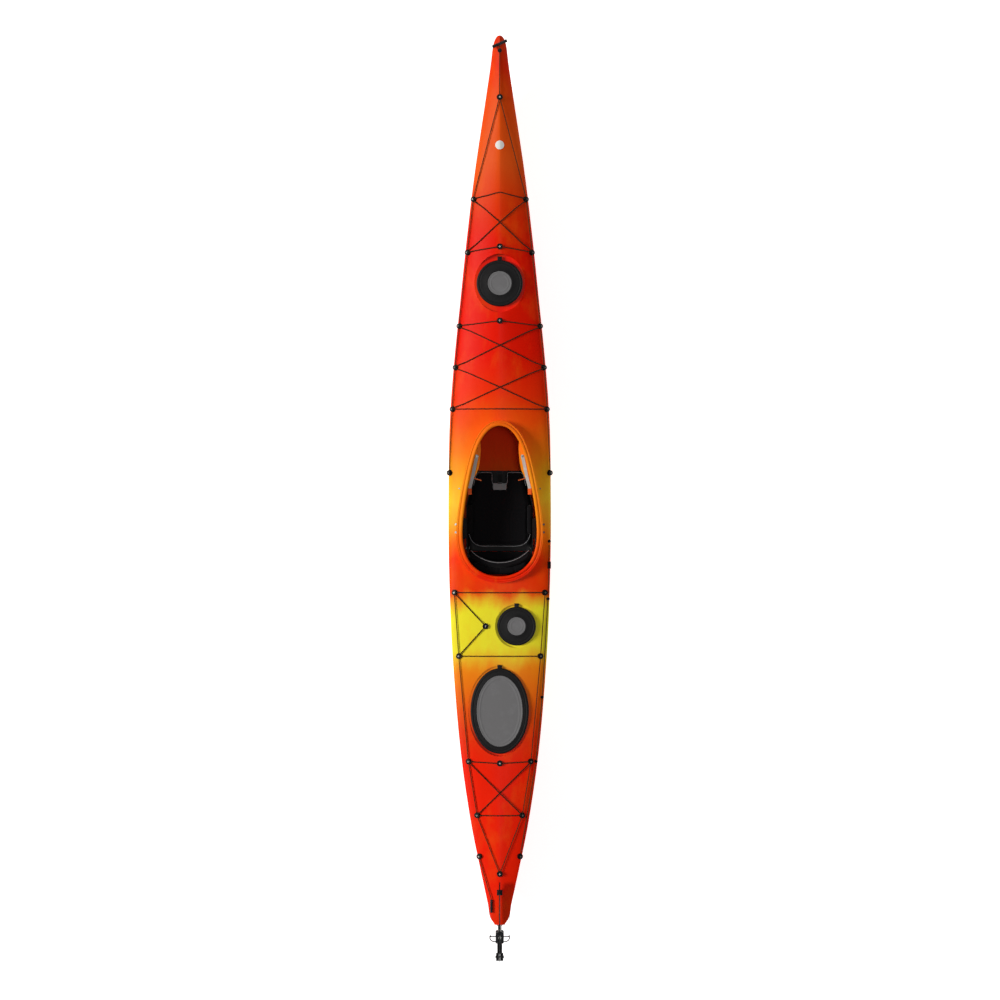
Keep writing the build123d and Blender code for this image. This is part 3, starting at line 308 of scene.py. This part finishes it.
materials = {
    "hull_plastic": blended_plastic("blended deck plastic", BLEND, (246, 110, 20)),
    "foam": moulded("black foam", (12, 12, 13), 0.9, 700.0, 0.0012),
    "hatch_rubber": moulded("hatch rubber", (15, 14, 15), 0.6, 1400.0, 0.0002, (32, 32, 34)),
    "hatch_plate": moulded("grey hatch plate", (110, 109, 110), 0.6, 1100.0, 0.0003,
                           worn=(128, 128, 130)),
    "rim_plastic": moulded("rim plastic", (20, 20, 21), 0.45),
    "seat_plastic": moulded("seat pan plastic", (9, 9, 10), 0.55, 500.0, 0.0006, (18, 18, 19)),
    "seat_fabric": woven("seat cloth", (4, 3, 5), (15, 14, 17), 1500.0, 0.03),
    "tab_fabric": woven("grey webbing", (104, 104, 106), (166, 166, 168), 1300.0, 0.1),
    "webbing": woven("black webbing", (12, 12, 12), (34, 34, 34), 1300.0),
    "steel": metal("brushed steel", (138, 136, 132), 0.4),
    "fitting_plastic": moulded("deck fitting nylon", (10, 10, 11), 0.42, 900.0, 0.0003, (18, 18, 19),
                               shine=0.14),
    "bungee": woven("elastic cord", (30, 14, 6), (84, 50, 22), 1700.0, 0.05),
    "deck_line": woven("deck line", (34, 18, 8), (96, 66, 34), 1500.0, 0.05),
    "brace_plastic": moulded("pale brace plastic", (176, 178, 174), 0.45),
    "brace_rubber": moulded("orange brace pad", (226, 84, 20), 0.6),
    "pull_cord": woven("orange pull cord", (200, 70, 12), (244, 128, 40), 1700.0),
    "rudder_plastic": moulded("rudder nylon", (10, 10, 12), 0.45, 900.0, 0.0003, (30, 31, 34)),
    "blade_alloy": moulded("black coated rudder alloy", (18, 19, 21), 0.35, 1600.0, 0.0001,
                           worn=(46, 47, 50)),
    "cable": metal("wire rope", (190, 190, 196), 0.3, brush=(8, 1, 8)),
    "sheath": moulded("cable tube", (34, 34, 36), 0.4),
    "grip_rubber": moulded("toggle rubber", (24, 24, 26), 0.6, 800.0, 0.0006, (58, 58, 60)),
    "rail_alloy": metal("rail alloy", (176, 178, 182), 0.34, brush=(14, 1, 14)),
    "badge": moulded("plain badge", (226, 224, 220), 0.3, 300.0, 0.0001, (246, 246, 244)),
}
COAMING = [   # the same for the cockpit's rim
    (0.40, (240, 92, 12)), (0.20, (250, 126, 20)), (0.0, (252, 150, 26)), (-0.25, (250, 138, 22)),
    (-0.38, (246, 96, 12)), (-0.50, (242, 44, 4)), (-0.62, (234, 28, 2)),
]
materials["coaming_plastic"] = blended_plastic("blended coaming plastic", COAMING, (250, 170, 40))
floor_finish = Finish("floor", roughness=0.9)
paper = floor_finish.mix(floor_finish.noise(0.8), (0.86, 0.86, 0.86, 1), (0.92, 0.92, 0.92, 1))
floor_finish.set(emission_color=(1, 1, 1, 1), emission_strength=0.75, base_color=paper)
floor.data.materials.append(floor_finish.material)

# hull plastic whose inside is darkened with painted shade
hull_plastic_with_painted_inside_shade = blended_plastic("blended hull plastic, dull inside with painted shade", BLEND, (246, 110, 20),
                              inside=(196, 26, 4))

slots = {entry["node"]: entry["material_slot"] for entry in frame["record"]["subparts"]}
for name, thing in nodes.items():
    thing.data.materials.clear()
    thing.data.materials.append(hull_plastic_with_painted_inside_shade if name == "hull_shell" else materials[slots[name]])


# ------------------------------------------------------------------ modelling helpers
def deselect():
    if bpy.context.mode != "OBJECT":
        bpy.ops.object.mode_set(mode="OBJECT")
    bpy.ops.object.select_all(action="DESELECT")


def activate(piece):
    deselect()
    piece.select_set(True)
    bpy.context.view_layer.objects.active = piece


def complete(piece, name, body, slot, replaced=(), angle=38):
    """Settles a piece's place into its mesh, and gives it its body and finish."""
    activate(piece)
    piece.name = name
    bpy.ops.object.transform_apply(location=True, rotation=True, scale=True)
    piece.data.materials.clear()
    piece.data.materials.append(materials[slot])
    bpy.ops.object.shade_smooth_by_angle(angle=math.radians(angle))
    if body:
        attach(piece, body)
    if replaced:
        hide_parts(*replaced)
    return piece


def turned_oval(centre, rings, sides=96):
    """Closed oval turning. Rings are (half width, half length, height), underside first."""
    deselect()
    half_x, half_y, height = rings[0]
    bpy.ops.mesh.primitive_circle_add(vertices=sides, radius=1, fill_type="TRIFAN",
                                      location=(centre[0], centre[1], height))
    piece = bpy.context.object
    piece.scale = (half_x, half_y, 1)
    bpy.ops.object.transform_apply(location=True, rotation=True, scale=True)
    bpy.ops.object.mode_set(mode="EDIT")
    bpy.ops.mesh.select_all(action="SELECT")
    bpy.ops.mesh.region_to_loop()
    for ring, last in zip(rings[1:], rings):
        bpy.ops.mesh.extrude_edges_move()
        bpy.ops.transform.resize(value=(ring[0] / last[0], ring[1] / last[1], 1),
                                 center_override=(centre[0], centre[1], last[2]))
        bpy.ops.transform.translate(value=(0, 0, ring[2] - last[2]))
    bpy.ops.mesh.extrude_edges_move()
    bpy.ops.mesh.merge(type="CENTER")
    bpy.ops.mesh.select_all(action="SELECT")
    bpy.ops.mesh.normals_make_consistent(inside=False)
    bpy.ops.object.mode_set(mode="OBJECT")
    return piece


def rounded_block(low, high, edge, segments=3, cuts=0):
    """Block between two corners with every edge rounded."""
    deselect()
    middle = [(a + b) / 2 for a, b in zip(low, high)]
    bpy.ops.mesh.primitive_cube_add(size=1, location=middle)
    block = bpy.context.object
    block.scale = [b - a for a, b in zip(low, high)]
    bpy.ops.object.transform_apply(location=True, rotation=True, scale=True)
    bpy.ops.object.mode_set(mode="EDIT")
    bpy.ops.mesh.select_all(action="SELECT")
    bpy.ops.mesh.bevel(offset=edge, segments=segments, affect="EDGES")
    if cuts:
        bpy.ops.mesh.subdivide(number_cuts=cuts)
    bpy.ops.object.mode_set(mode="OBJECT")
    return block


def joined(*pieces):
    activate(pieces[0])
    for piece in pieces[1:]:
        piece.select_set(True)
    bpy.ops.object.join()
    return bpy.context.object


def tube(points, radius):
    """Round cord or piping along a smooth line."""
    data = bpy.data.curves.new("line", "CURVE")
    data.dimensions = "3D"
    data.bevel_depth, data.bevel_resolution, data.resolution_u = radius, 3, 6
    data.use_fill_caps = True
    spline = data.splines.new("NURBS")
    spline.points.add(len(points) - 1)
    for point, place in zip(spline.points, points):
        point.co = (*place, 1)
    spline.use_endpoint_u = True
    spline.order_u = 3
    thing = bpy.data.objects.new("line", data)
    bpy.context.scene.collection.objects.link(thing)
    activate(thing)
    bpy.ops.object.convert(target="MESH")
    return bpy.context.object


# ------------------------------------------------------------------ hatches
def hatch(name):
    """Rubber cover with a rolled skirt, groove, bead and pull tab, and the ribbed plate let into it."""
    low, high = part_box(name + "_cover")
    plate_low, plate_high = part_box(name + "_plate")
    x, y = (plate_low[0] + plate_high[0]) / 2, (plate_low[1] + plate_high[1]) / 2
    half_x, half_y = (high[0] - low[0]) / 2, y - low[1]
    plate_x, plate_y = (plate_high[0] - plate_low[0]) / 2, (plate_high[1] - plate_low[1]) / 2
    top = high[2]

    def edge(inset, drop):
        return half_x - inset, half_y - inset, top - drop

    def round_plate(outset, drop):
        return plate_x + outset, plate_y + outset, top - drop

    rings = [edge(0.0084, 0.0052), edge(0.0084, 0.0212), edge(0.0070, 0.0220), edge(0.0018, 0.0220),
             edge(0.0002, 0.0208), edge(0.0, 0.0150), edge(0.0006, 0.0105), edge(0.0002, 0.0080),
             edge(0.0010, 0.0050), edge(0.0030, 0.0022), edge(0.0062, 0.0006), edge(0.0100, 0.0),
             edge(0.0140, 0.0002), edge(0.0158, 0.0016), edge(0.0180, 0.0016), edge(0.0198, 0.0004),
             edge(0.0235, 0.0), round_plate(0.0086, 0.0006), round_plate(0.0072, -0.0002),
             round_plate(0.0040, -0.0010), round_plate(0.0016, -0.0006), round_plate(0.0004, 0.0006),
             round_plate(0.0003, 0.0020), round_plate(-0.004, 0.0021)]
    cover = turned_oval((x, y), rings)
    outer = y + half_y
    tab = rounded_block((x - 0.013, outer - 0.006, top - 0.0085), (x + 0.013, high[1], top - 0.004), 0.0019)
    grips = [rounded_block((x - 0.009, outer + d, top - 0.0045), (x + 0.009, outer + d + 0.0028, top - 0.0026),
                           0.0008, 2) for d in (0.004, 0.009, 0.014)]
    complete(joined(cover, tab, *grips), name + "_rubber_cover", name, "hatch_rubber", [name + "_cover"])

    def inset(amount, drop):
        return plate_x - amount, plate_y - amount, plate_high[2] - drop

    rings = [(plate_x - 0.0012, plate_y - 0.0012, plate_low[2]), inset(0.0003, 0.0026), inset(0.0003, 0.0008),
             inset(0.0012, 0.0), inset(0.0042, -0.0002), inset(0.0060, 0.0008), inset(0.0150, 0.0009),
             inset(0.0162, 0.0004), inset(0.0180, 0.0004), inset(0.0192, 0.0009), inset(0.030, 0.0008),
             inset(0.045, 0.0004)]
    complete(turned_oval((x, y), rings), name + "_inset_plate", name, "hatch_plate", [name + "_plate"])


for name in ("bow_hatch", "day_hatch", "stern_hatch"):
    hatch(name)


# ------------------------------------------------------------------ padded pieces
PRESSURE = 4.0
CLOTH_STEPS = 20


def swollen(node, voxel, cap, shrink=0.985, reshape=None):
    """Copy of a pad's solid, remeshed and blown up as cloth, no point moving further than the cap."""
    piece = bpy.data.objects.new(node, nodes[node].data.copy())
    bpy.context.scene.collection.objects.link(piece)
    activate(piece)
    bpy.ops.object.mode_set(mode="EDIT")
    bpy.ops.mesh.select_all(action="SELECT")
    bpy.ops.mesh.remove_doubles(threshold=0.00001)
    low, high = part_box(node)
    middle = [(a + b) / 2 for a, b in zip(low, high)]
    bpy.ops.transform.resize(value=(shrink, shrink, shrink), center_override=middle)
    bpy.ops.object.mode_set(mode="OBJECT")
    remesh = piece.modifiers.new("cloth grid", "REMESH")
    remesh.mode, remesh.voxel_size = "VOXEL", voxel
    bpy.ops.object.modifier_apply(modifier=remesh.name)
    if reshape:
        for vertex in piece.data.vertices:
            vertex.co = reshape(vertex.co)
    start = [vertex.co.copy() for vertex in piece.data.vertices]
    cloth = piece.modifiers.new("filling", "CLOTH")
    cloth.settings.use_pressure = True
    cloth.settings.uniform_pressure_force = PRESSURE
    cloth.settings.effector_weights.gravity = 0
    cloth.settings.quality = 4
    cloth.collision_settings.use_collision = False
    scene = bpy.context.scene
    for step in range(1, CLOTH_STEPS + 1):
        scene.frame_set(step)
    graph = bpy.context.evaluated_depsgraph_get()
    ended = [vertex.co.copy() for vertex in piece.evaluated_get(graph).data.vertices]
    piece.modifiers.remove(cloth)
    scene.frame_set(1)
    for vertex, before, after in zip(piece.data.vertices, start, ended):
        moved = after - before
        vertex.co = before + moved * min(1.0, cap / max(moved.length, 1e-9))
    return piece


def sewn(piece, groove, limit):
    """Presses seams in, adds small folds, keeps the pad inside its space and doubles its grid."""
    for vertex in piece.data.vertices:
        crease = noise.noise(vertex.co * 38) * 0.0007 + noise.noise(vertex.co * 90) * 0.0003
        vertex.co = limit(vertex.co + vertex.normal * (crease - groove(vertex.co)))
    finer = piece.modifiers.new("finer", "SUBSURF")
    finer.levels = finer.render_levels = 1
    activate(piece)
    bpy.ops.object.modifier_apply(modifier=finer.name)
    return piece


def dip(distance, width, depth):
    """How deep a sewn seam pulls a point down, by its distance from the seam."""
    return depth * math.exp(-(distance / width) ** 2)


def within(low, high):
    """Keeps a point inside a box."""
    def limit(point):
        return Vector([min(max(v, a), b) for v, a, b in zip(point, low, high)])
    return limit


pad_low, pad_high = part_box("seat_pad")
PAD_CORNER = 0.075           # rounding of the seat pad's two back corners


def round_back(point):
    """Rounds the back corners of the seat pad in plan."""
    corner_x, corner_y = pad_high[0] - PAD_CORNER, pad_low[1] + PAD_CORNER
    away = Vector((abs(point.x) - corner_x, corner_y - point.y))
    if away.x > 0 and away.y > 0 and away.length > PAD_CORNER:
        away *= PAD_CORNER / away.length
        return Vector((math.copysign(corner_x + away.x, point.x), corner_y - away.y, point.z))
    return point


def seat_seams(point):
    if point.z < pad_high[2] - 0.016:
        return 0.0
    across = abs(point.x)
    rim = 0.024
    side = pad_high[0] - rim
    groove = dip(across - side, 0.004, 0.0045) if point.y < -0.13 else 0
    groove = max(groove, dip(point.y - (pad_low[1] + rim), 0.004, 0.0045) if across < side else 0)
    groove = max(groove, dip(across - 0.058, 0.004, 0.0038) if point.y < -0.05 else 0)
    groove = max(groove, dip(point.y + 0.165, 0.004, 0.0032) if across < side else 0)
    return groove + 0.006 * math.exp(-((point.y + 0.22) / 0.1) ** 2 - (across / 0.1) ** 2)


def seat_limit(point):
    """Keeps the cushion in the pan, on its floor and below the leg lifter's tab."""
    beside_tab = max(abs(point.x) - 0.042, abs(point.y + 0.027) - 0.021, 0.0)
    top = pad_high[2] - 0.0004 + 0.0064 * min(beside_tab / 0.022, 1.0)
    return Vector((min(max(point.x, -0.1835), 0.1835),
                   min(max(point.y, pad_low[1] - 0.008), pad_high[1] + 0.004),
                   min(max(point.z, pad_low[2] + 0.0002), top)))


seat = swollen("seat_pad", 0.005, 0.007, reshape=round_back)
sewn(seat, seat_seams, seat_limit)
complete(seat, "seat_cushion", "hull", "seat_fabric", ["seat_pad"], 60)

for side in ("starboard", "port"):
    low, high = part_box("hip_pad_" + side)
    middle_z, middle_y = (low[2] + high[2]) / 2, (low[1] + high[1]) / 2

    def hip_seams(point, z=middle_z, y=middle_y):
        return max(dip(point.z - z, 0.0035, 0.0032), dip(point.y - y, 0.0035, 0.0032))

    hip = swollen("hip_pad_" + side, 0.004, 0.005, 0.97)
    starboard = side == "starboard"
    sewn(hip, hip_seams, within(
        (low[0] if starboard else low[0] + 0.0004, low[1] - 0.006, low[2] + 0.0002),
        (high[0] - 0.0004 if starboard else high[0], high[1] + 0.006, high[2] + 0.006)))
    complete(hip, "hip_cushion_" + side, "hull", "seat_fabric", ["hip_pad_" + side], 60)

band_low, band_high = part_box("back_band_pad")
BAND_CENTRE, BAND_R, BAND_THICK = -0.230, 0.232, 0.022


def band_seams(point):
    turn = math.atan2(point.x, BAND_CENTRE - point.y)
    groove = max(dip((turn - a) * BAND_R, 0.004, 0.0038) for a in (-0.42, -0.14, 0.14, 0.42))
    lower, upper = band_low[2] + 0.020, band_high[2] - 0.024
    level = min(abs(point.z - lower), abs(point.z - upper))
    return max(groove if lower < point.z < upper else 0, dip(level, 0.004, 0.0036))


def band_limit(point):
    """Keeps the pad ahead of the frame that carries it."""
    reach = Vector((point.x, point.y - BAND_CENTRE))
    far = BAND_R + BAND_THICK
    if reach.length > far and point.z < band_high[2] - 0.024:
        reach *= far / reach.length
    z = min(max(point.z, band_low[2] - 0.002), band_high[2] + 0.006)
    return Vector((reach.x, reach.y + BAND_CENTRE, z))


band = swollen("back_band_pad", 0.0045, 0.006)
sewn(band, band_seams, band_limit)
complete(band, "back_band_cushion", "back_band", "seat_fabric", ["back_band_pad"], 60)


def arc_point(radius, turn, z):
    return radius * math.sin(turn), BAND_CENTRE - radius * math.cos(turn), z


REACH = 0.80                 # half the angle that the back band wraps
PIPING_R = BAND_R - 0.0015
port_end = [arc_point(PIPING_R, -REACH, band_high[2] - d) for d in (0.05, 0.02)]
top_edge = [arc_point(PIPING_R, REACH * t / 8, band_high[2] - 0.001) for t in range(-8, 9)]
starboard_end = [arc_point(PIPING_R, REACH, band_high[2] - d) for d in (0.02, 0.05)]
piping = tube(port_end + top_edge + starboard_end, 0.0019)
complete(piping, "back_band_piping", "back_band", "tab_fabric", (), 60)


def seat_piping(half, z, name):
    """Piping along a mirrored run, given from starboard to the middle."""
    run = half + [(-x, y) for x, y in reversed(half)]
    complete(tube([(x, y, z) for x, y in run], 0.0017), name, "hull", "tab_fabric", (), 60)


corner = pad_high[0] - PAD_CORNER, pad_low[1] + PAD_CORNER
corner_arc = [(corner[0] + PAD_CORNER * math.cos(math.radians(a)) - 0.004,
               corner[1] - PAD_CORNER * math.sin(math.radians(a)) + 0.003) for a in (0, 22, 45, 68, 90)]
seat_piping([(0.1755, -0.16), (0.1755, -0.22)] + corner_arc + [(0.05, pad_low[1] + 0.003)],
            pad_high[2] - 0.001, "seat_back_piping")
NOTCH = 0.041                # half width of the notch in the pad's front
front_y = pad_high[1]
notch_y = front_y - 0.062
seat_piping([(0.150, -0.02), (0.142, 0.02), (0.131, front_y - 0.006), (0.118, front_y - 0.003),
             (0.075, front_y - 0.003), (NOTCH + 0.006, front_y - 0.003), (NOTCH + 0.003, front_y - 0.009),
             (NOTCH + 0.003, front_y - 0.030), (NOTCH + 0.003, notch_y - 0.001),
             (NOTCH - 0.004, notch_y - 0.004), (0.012, notch_y - 0.004)],
            pad_high[2], "seat_front_piping")


# ------------------------------------------------------------------ cockpit
COCKPIT_MID, COCKPIT_HALF, EGG = -0.110, 0.428, (0.195, -0.067, 0.060)
LIP_FRONT, LIP_BACK = 0.343, 0.290


def egg_point(turn, outset):
    """Point beside the cockpit opening's outline, which is an egg; turn 0 is its front."""
    def on_edge(a):
        c = math.cos(a)
        return Vector((math.sin(a) * (EGG[0] + EGG[1] * c + EGG[2] * c * c), COCKPIT_MID + COCKPIT_HALF * c))
    ahead = on_edge(turn + 0.001) - on_edge(turn - 0.001)
    away = Vector((-ahead.y, ahead.x)).normalized()
    return on_edge(turn) + away * outset


def lip_level(y):
    share = (y - COCKPIT_MID + COCKPIT_HALF) / (2 * COCKPIT_HALF)
    return LIP_BACK + (LIP_FRONT - LIP_BACK) * share


def swept_egg(name, profile, steps=180):
    """Moulding of one section, given as outset and height, carried round the cockpit."""
    rim = []
    for i in range(steps):
        turn = 2 * math.pi * i / steps
        for outset, rise in profile:
            x, y = egg_point(turn, outset)
            rim.append((x, y, lip_level(y) + rise))
    many = len(profile)
    faces = []
    for i in range(steps):
        this, following = i * many, (i + 1) % steps * many
        for j in range(many):
            k = (j + 1) % many
            faces.append((this + j, this + k, following + k, following + j))
    mesh = bpy.data.meshes.new(name)
    mesh.from_pydata(rim, [], faces)
    piece = bpy.data.objects.new(name, mesh)
    bpy.context.scene.collection.objects.link(piece)
    activate(piece)
    bpy.ops.object.mode_set(mode="EDIT")
    bpy.ops.mesh.select_all(action="SELECT")
    bpy.ops.mesh.normals_make_consistent(inside=False)
    bpy.ops.object.mode_set(mode="OBJECT")
    return piece


roll = [(0.0012, -0.0040), (-0.0008, -0.0030), (-0.0016, 0.0004), (-0.0006, 0.0036), (0.0024, 0.0062),
        (0.0070, 0.0074), (0.0120, 0.0068), (0.0160, 0.0042), (0.0182, 0.0008), (0.0184, -0.0020),
        (0.0150, -0.0040)]
complete(swept_egg("roll", roll), "coaming_roll", "hull", "coaming_plastic", (), 50)
outer_bead = [(0.0225, -0.0030), (0.0225, 0.0006), (0.0245, 0.0022), (0.0272, 0.0022), (0.0290, 0.0004),
              (0.0290, -0.0030)]
complete(swept_egg("bead", outer_bead), "coaming_edge_bead", "hull", "coaming_plastic", (), 50)

# leg lifter: its tab on the cushion, and the webbing up through the notch
tab_low, tab_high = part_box("leg_lifter_tab")
tab = rounded_block(tab_low, tab_high, 0.0011, 3, 8)
for vertex in tab.data.vertices:
    x, y = vertex.co.x / 0.0395, (vertex.co.y - (tab_low[1] + tab_high[1]) / 2) / 0.018
    vertex.co.z += 0.0022 * (1 - x * x) - 0.0008 * math.exp(-((abs(x) - 0.82) / 0.05) ** 2) * (abs(y) < 0.9)
    vertex.co.x *= 1 - 0.10 * max(0.0, -y) ** 2
complete(tab, "leg_lifter_pull", "hull", "tab_fabric", ["leg_lifter_tab"], 40)
line = [(0.046, 0.0323), (0.030, 0.0323), (0.012, 0.0326), (0.000, 0.0345), (-0.0030, 0.0430),
        (-0.0034, 0.0560), (-0.0040, 0.0670), (-0.0060, 0.0728), (-0.0100, 0.0738)]
deselect()
bpy.ops.mesh.primitive_grid_add(x_subdivisions=8, y_subdivisions=40, size=1)
strap = bpy.context.object
for vertex in strap.data.vertices:
    along_line = (vertex.co.y + 0.5) * (len(line) - 1)
    i = min(int(along_line), len(line) - 2)
    t = along_line - i
    t = t * t * (3 - 2 * t)
    y, z = (line[i][k] * (1 - t) + line[i + 1][k] * t for k in (0, 1))
    vertex.co = (vertex.co.x * 0.025, y, z)
thick = strap.modifiers.new("thick", "SOLIDIFY")
thick.thickness, thick.offset = 0.0017, 0
activate(strap)
bpy.ops.object.modifier_apply(modifier=thick.name)
complete(strap, "leg_lifter_webbing", "hull", "webbing", ["leg_lifter_strap"], 50)

# rolled lumbar cover behind the back band's frame
COVER_IN, COVER_DEEP = 0.2600, 0.034


def behind_frame(point):
    away = Vector((point.x, point.y - BAND_CENTRE))
    turn = math.atan2(away.x, -away.y) * 0.74
    share = min(max((away.length - BAND_R) / BAND_THICK, 0), 1)
    radius = COVER_IN + share * COVER_DEEP
    height = (point.z - band_low[2]) / (band_high[2] - band_low[2])
    z = band_low[2] + 0.018 + height * (band_high[2] - band_low[2] - 0.034) - 0.012 * share
    return Vector(arc_point(radius, turn, z))


def cover_seams(point):
    turn = math.atan2(point.x, BAND_CENTRE - point.y)
    return max(dip((turn - a) * COVER_IN, 0.004, 0.0035) for a in (-0.3, 0.0, 0.3))


def cover_limit(point):
    away = Vector((point.x, point.y - BAND_CENTRE))
    away *= min(max(away.length, COVER_IN - 0.0008), COVER_IN + COVER_DEEP + 0.006) / away.length
    return Vector((away.x, away.y + BAND_CENTRE, point.z))


lumbar = swollen("back_band_pad", 0.0045, 0.005, 1.0, reshape=behind_frame)
sewn(lumbar, cover_seams, cover_limit)
complete(lumbar, "lumbar_cover", "back_band", "seat_fabric", (), 60)


def painted_shade_sheet_place(point):
    """Place on the black sheet of painted shade, which runs from under the pan's back edge down to the floor
    behind the seat.
    """
    share = point.y                      # 0 at the pan, 1 on the floor
    y = -0.4005 - 0.1315 * share
    z = 0.086 - 0.070 * share ** 0.8 + 0.004 * math.sin(point.x * 55) * share + point.z * 0.005
    return Vector((point.x * (1 - 0.06 * share), y, z))


# black seat cloth sheet behind the seat: painted shade, darkening the hull's inside behind the back band
deselect()
bpy.ops.mesh.primitive_grid_add(x_subdivisions=60, y_subdivisions=24, size=1)
painted_shade_sheet = bpy.context.object
for vertex in painted_shade_sheet.data.vertices:
    vertex.co = painted_shade_sheet_place(Vector((vertex.co.x * 0.364, vertex.co.y + 0.5, 0)))
thick = painted_shade_sheet.modifiers.new("thick", "SOLIDIFY")
thick.thickness, thick.offset = 0.004, 0
activate(painted_shade_sheet)
bpy.ops.object.modifier_apply(modifier=thick.name)
complete(painted_shade_sheet, "seat_back_painted_shade_sheet", "hull", "seat_fabric", (), 60)

# thigh braces: a screw head and its washer at the hinge end
BRACE_HINGE = (0.1295, 0.146)
SCREW_TURNING = [(0.0062, -0.0006), (0.0068, 0.0001), (0.0068, 0.0008), (0.0050, 0.0011),
                 (0.0046, 0.0026), (0.0038, 0.0034), (0.0022, 0.0034), (0.0020, 0.0016)]
for side, sign in (("starboard", 1), ("port", -1)):
    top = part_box("thigh_brace_" + side)[1][2]
    screw = turned_oval((sign * BRACE_HINGE[0], BRACE_HINGE[1]),
                        [(size, size, top + rise) for size, rise in SCREW_TURNING], 36)
    complete(screw, "thigh_brace_screw_" + side, "thigh_brace_" + side, "steel")


# ------------------------------------------------------------------ grips, cables and rudder arms
def grip(name, node, body, turn, half, radius, ribs):
    """Rubber T-grip with finger ribs, turned about its own line and then laid where its solid lies."""
    low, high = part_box(node)
    cap = [(0.35, half), (0.8, half - 0.0006), (1.0, half - 0.003)]
    turning = [(size, -level) for size, level in cap]
    for i in range(ribs):
        for share, size in ((0.15, 1.0), (0.35, 0.88), (0.65, 0.88), (0.85, 1.0)):
            turning.append((size, -half + 0.005 + (i + share) * (2 * half - 0.010) / ribs))
    turning += cap[::-1]
    piece = turned_oval((0, 0), [(radius * size, radius * size, level) for size, level in turning], 40)
    piece.rotation_euler = (math.pi / 2, 0, turn)
    piece.location = [(a + b) / 2 for a, b in zip(low, high)]
    return complete(piece, name, body, "grip_rubber", [node], 50)


BOW_GRIP_TURN = math.radians(90 + 24)   # the bow grip lies askew on the deck
grip("bow_toggle_handle", "bow_toggle_grip", "bow_toggle", BOW_GRIP_TURN, 0.045, 0.009, 7)
grip("stern_toggle_handle", "stern_toggle_grip", "stern_toggle", 0.0, 0.037, 0.0075, 6)

arm_low, arm_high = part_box("steering_arms")
ARM_Z = (arm_low[2] + arm_high[2]) / 2
loops = []
for sign in (1, -1):
    loop = [(0.020, -2.583), (0.034, -2.583), (0.050, -2.5825), (0.0560, -2.586), (0.0555, -2.596),
            (0.048, -2.607), (0.036, -2.6125), (0.026, -2.6130), (0.020, -2.6130)]
    loops.append(tube([(sign * x, y, ARM_Z) for x, y in loop], 0.0029))
    boss = [(0.004, -0.0040), (0.0048, -0.0034), (0.0048, 0.0034), (0.004, 0.0040)]
    loops.append(turned_oval((sign * 0.054, -2.5815), [(size, size, ARM_Z + rise) for size, rise in boss], 28))
complete(joined(*loops), "steering_loops", "rudder_head", "rudder_plastic", ["steering_arms"], 50)

WIRE_LINE = [(0.0597, -2.4330, 0.2585), (0.0582, -2.448, 0.2602), (0.0564, -2.462, 0.2620),
             (0.0558, -2.485, 0.2655), (0.0552, -2.510, 0.2690), (0.0548, -2.535, 0.2730),
             (0.0543, -2.560, 0.2766), (0.0541, -2.5765, 0.2790)]
wires = [tube([(sign * x, y, z) for x, y, z in WIRE_LINE], 0.0012) for sign in (1, -1)]
wire = complete(joined(*wires), "steering_wires", None, "cable", ["rudder_cables"], 60)
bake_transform(wire)
nodes["leg_lifter_buckle"].data.materials[0] = materials["grip_rubber"]
